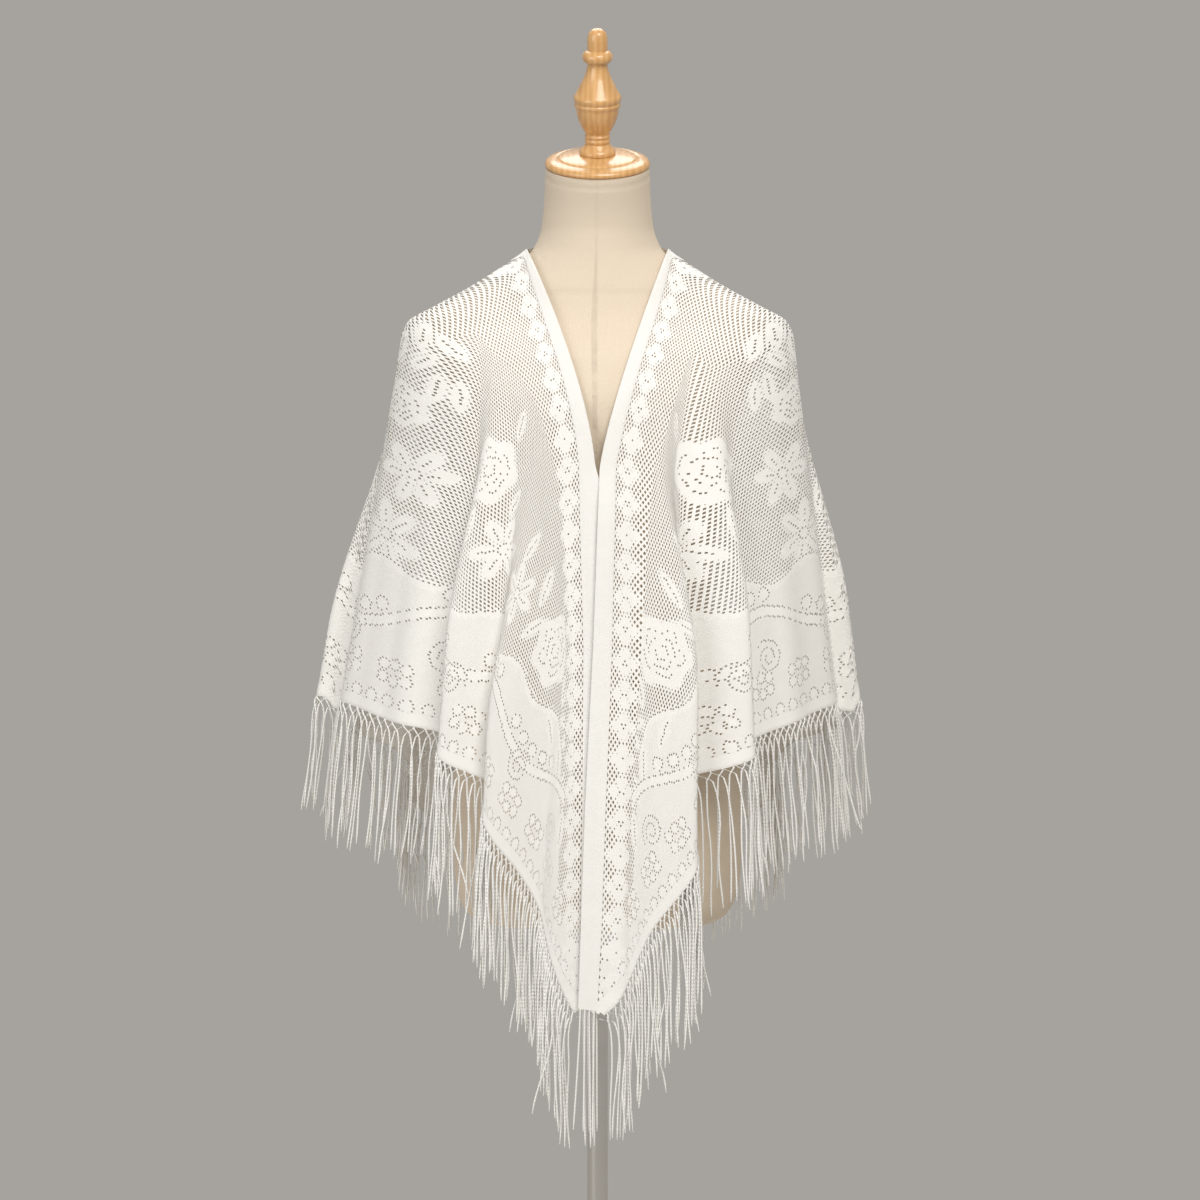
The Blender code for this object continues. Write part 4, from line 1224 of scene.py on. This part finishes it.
def noise(material, coordinate, scale, detail=3.0):
    node = add_node(material, "ShaderNodeTexNoise", (("Scale", scale), ("Detail", detail)))
    connect(material, coordinate, node.inputs["Vector"])
    return node.outputs["Fac"]


def thread_material(name, wale, dark, light, alpha=1.0):
    """Fine knitted thread: ribs along the cloth, crossed by shorter stitches."""
    material, shader = new_material(name, light, 0.78)
    flat = add_node(material, "ShaderNodeUVMap", uv_map="flat").outputs["UV"]
    ribs = wave_along(material, flat, "Y", wale)
    stitches = wave_along(material, flat, "X", 1.6 * wale)
    uneven = noise(material, flat, 900.0)
    height = combine(material, "ADD", combine(material, "MULTIPLY", ribs, stitches), uneven)
    add_bump(material, shader, height, 0.00022, 0.8)
    vary_colour(material, shader, noise(material, flat, 60.0), dark, light)
    shader.inputs["Sheen Weight"].default_value = 0.15
    shader.inputs["Alpha"].default_value = alpha
    return material


def cord_material():
    """Twisted cord with a soft sheen."""
    material, shader = new_material("fringe_cord", (0.90, 0.885, 0.85), 0.55)
    flat = add_node(material, "ShaderNodeUVMap", uv_map="flat").outputs["UV"]
    parts = add_node(material, "ShaderNodeSeparateXYZ")
    connect(material, flat, parts.inputs["Vector"])
    rise = combine(material, "MULTIPLY", parts.outputs["Y"], float(2 * np.pi / 0.0036))
    around = combine(material, "MULTIPLY", parts.outputs["X"], float(2 * np.pi))
    twist = combine(material, "SINE", combine(material, "ADD", rise, around), 0.0)
    add_bump(material, shader, twist, 0.00025, 0.7)
    vary_colour(material, shader, noise(material, flat, 40.0), (0.84, 0.825, 0.79), (0.93, 0.915, 0.885))
    shader.inputs["Sheen Weight"].default_value = 0.2
    return material


def linen_material():
    """Beige plain weave with slubs; its colour is darkened in the weave's hollows as painted shade."""
    material, shader = new_material("linen_weave", (0.78, 0.69, 0.50), 0.9)
    flat = add_node(material, "ShaderNodeUVMap", uv_map="flat").outputs["UV"]
    warp = wave_along(material, flat, "X", 0.0011)
    weft = wave_along(material, flat, "Y", 0.0011)
    weave = combine(material, "MULTIPLY", warp, weft)
    slubs = noise(material, flat, 420.0)
    add_bump(material, shader, combine(material, "ADD", weave, slubs), 0.0003, 0.7)
    # Slub tone is the yarn's own; the weave's share is painted shade, darker where the weave dips between its
    # crossings.
    slub_tint = combine(material, "MULTIPLY", slubs, 0.6)
    weave_hollow_shade = combine(material, "MULTIPLY", weave, 0.4)
    tint = combine(material, "ADD", slub_tint, weave_hollow_shade)
    vary_colour(material, shader, tint, (0.715, 0.595, 0.455), (0.855, 0.745, 0.605))
    return material


def wood_material():
    """Varnished light hardwood: grain stretched along the turned axis."""
    material, shader = new_material("varnished_wood", (0.72, 0.42, 0.17), 0.32)
    place = add_node(material, "ShaderNodeTexCoord").outputs["Object"]
    mapping = add_node(material, "ShaderNodeMapping", (("Scale", (60.0, 60.0, 9.0)),))
    connect(material, place, mapping.inputs["Vector"])
    grain = noise(material, mapping.outputs["Vector"], 2.2, 5.0)
    rings = add_node(material, "ShaderNodeTexWave", (("Scale", 0.9), ("Distortion", 5.0), ("Detail", 3.0)))
    connect(material, mapping.outputs["Vector"], rings.inputs["Vector"])
    grain_tint = combine(material, "MULTIPLY", grain, 0.7)
    ring_tint = combine(material, "MULTIPLY", rings.outputs["Fac"], 0.3)
    tint = combine(material, "ADD", grain_tint, ring_tint)
    vary_colour(material, shader, tint, (0.52, 0.25, 0.075), (0.80, 0.49, 0.21))
    shader.inputs["Coat Weight"].default_value = 0.6
    shader.inputs["Coat Roughness"].default_value = 0.12
    return material


def steel_material():
    """Polished steel with faint brushing."""
    material, shader = new_material("steel_polished", (0.78, 0.75, 0.71), 0.24, 1.0)
    place = add_node(material, "ShaderNodeTexCoord").outputs["Object"]
    mapping = add_node(material, "ShaderNodeMapping", (("Scale", (900.0, 900.0, 12.0)),))
    connect(material, place, mapping.inputs["Vector"])
    brushing = noise(material, mapping.outputs["Vector"], 1.0)
    add_bump(material, shader, brushing, 0.00004, 0.4)
    vary_colour(material, shader, noise(material, place, 30.0), (0.74, 0.71, 0.67), (0.84, 0.81, 0.77))
    return material


def make_floor():
    material, shader = new_material("pale_floor", (0.62, 0.60, 0.57), 0.85)
    place = add_node(material, "ShaderNodeTexCoord").outputs["Object"]
    vary_colour(material, shader, noise(material, place, 3.0), (0.60, 0.58, 0.55), (0.65, 0.63, 0.60))
    turns = np.radians(np.arange(0.0, 360.0, 5.0))
    points = FLOOR_RADIUS * np.stack([np.cos(turns), np.sin(turns), np.zeros(len(turns))], axis=-1)
    floor = mesh_object("floor", points, [list(range(len(turns)))], (material,))


def add_light(name, place, aim, size, energy, colour):
    data = bpy.data.lights.new(name, "AREA")
    data.shape = "DISK"
    data.size = size
    data.energy = energy
    data.color = colour
    light = bpy.data.objects.new(name, data)
    bpy.context.scene.collection.objects.link(light)
    aim_at(light, place, aim)


def aim_at(obj, place, aim):
    """Stands an object at a place with its -Z towards the aim and its +Y up."""
    back = np.array(place, float) - np.array(aim, float)
    back /= np.linalg.norm(back)
    right = np.cross((0.0, 0.0, 1.0), back)
    right /= np.linalg.norm(right)
    up = np.cross(back, right)
    rows = np.stack([right, up, back], axis=-1)
    matrix = np.eye(4)
    matrix[:3, :3] = rows
    matrix[:3, 3] = place
    obj.matrix_world = [list(row) for row in matrix.T]


def light_the_scene():
    world = bpy.data.worlds.new("studio")
    world.use_nodes = True
    world.node_tree.nodes["Background"].inputs["Color"].default_value = (*GREY_WORLD, 1.0)
    bpy.context.scene.world = world
    aim = (0.0, 0.0, 1.1)
    add_light("key", (0.8, -2.6, 3.1), aim, 2.2, 79.0, (1.0, 0.985, 0.96))
    add_light("fill", (-2.5, -2.5, 1.5), aim, 2.4, 37.0, (0.97, 0.985, 1.0))
    add_light("top", (0.0, 0.9, 3.3), aim, 2.0, 30.0, (1.0, 1.0, 1.0))
    bpy.context.scene.view_settings.view_transform = "Standard"


def make_camera():
    data = bpy.data.cameras.new("camera")
    distance = float(np.linalg.norm(np.subtract(CAMERA_PLACE, CAMERA_AIM)))
    data.sensor_width = 36.0
    data.lens = 36.0 * distance / VIEW_SPAN
    camera = bpy.data.objects.new("camera", data)
    bpy.context.scene.collection.objects.link(camera)
    aim_at(camera, CAMERA_PLACE, CAMERA_AIM)
    bpy.context.scene.camera = camera


def main():
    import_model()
    thread = thread_material("lace_thread", 0.00115, (0.86, 0.84, 0.80), (0.93, 0.915, 0.88))
    sheer_cloth = thread_material("lace_thin_cloth", 0.00115, (0.86, 0.84, 0.80), (0.925, 0.91, 0.875), 0.94)
    # The band's thread is the lace's white, set a little darker as painted shade for the dimmer light on the
    # band's lower length.
    band_thread_painted_shade = thread_material("band_thread_painted_shade", 0.0009, (0.85, 0.835, 0.80), (0.915, 0.90, 0.865))
    cord = cord_material()
    pieces = [make_torso(linen_material())] + make_stand(wood_material(), steel_material())
    for side in ("left", "right"):
        table = drape_table(side)
        band = make_band(side, table, band_thread_painted_shade)
        hem = make_hem(side, table, thread)
        fringe = make_fringe(side, table, cord)
        pieces += [band, hem, fringe]
        for place, lace, cut, area in make_lace(side, table, thread, sheer_cloth):
            pieces.append(lace)
    for piece in pieces:
        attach(piece, "root")
    make_floor()
    light_the_scene()
    make_camera()
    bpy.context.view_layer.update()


main()
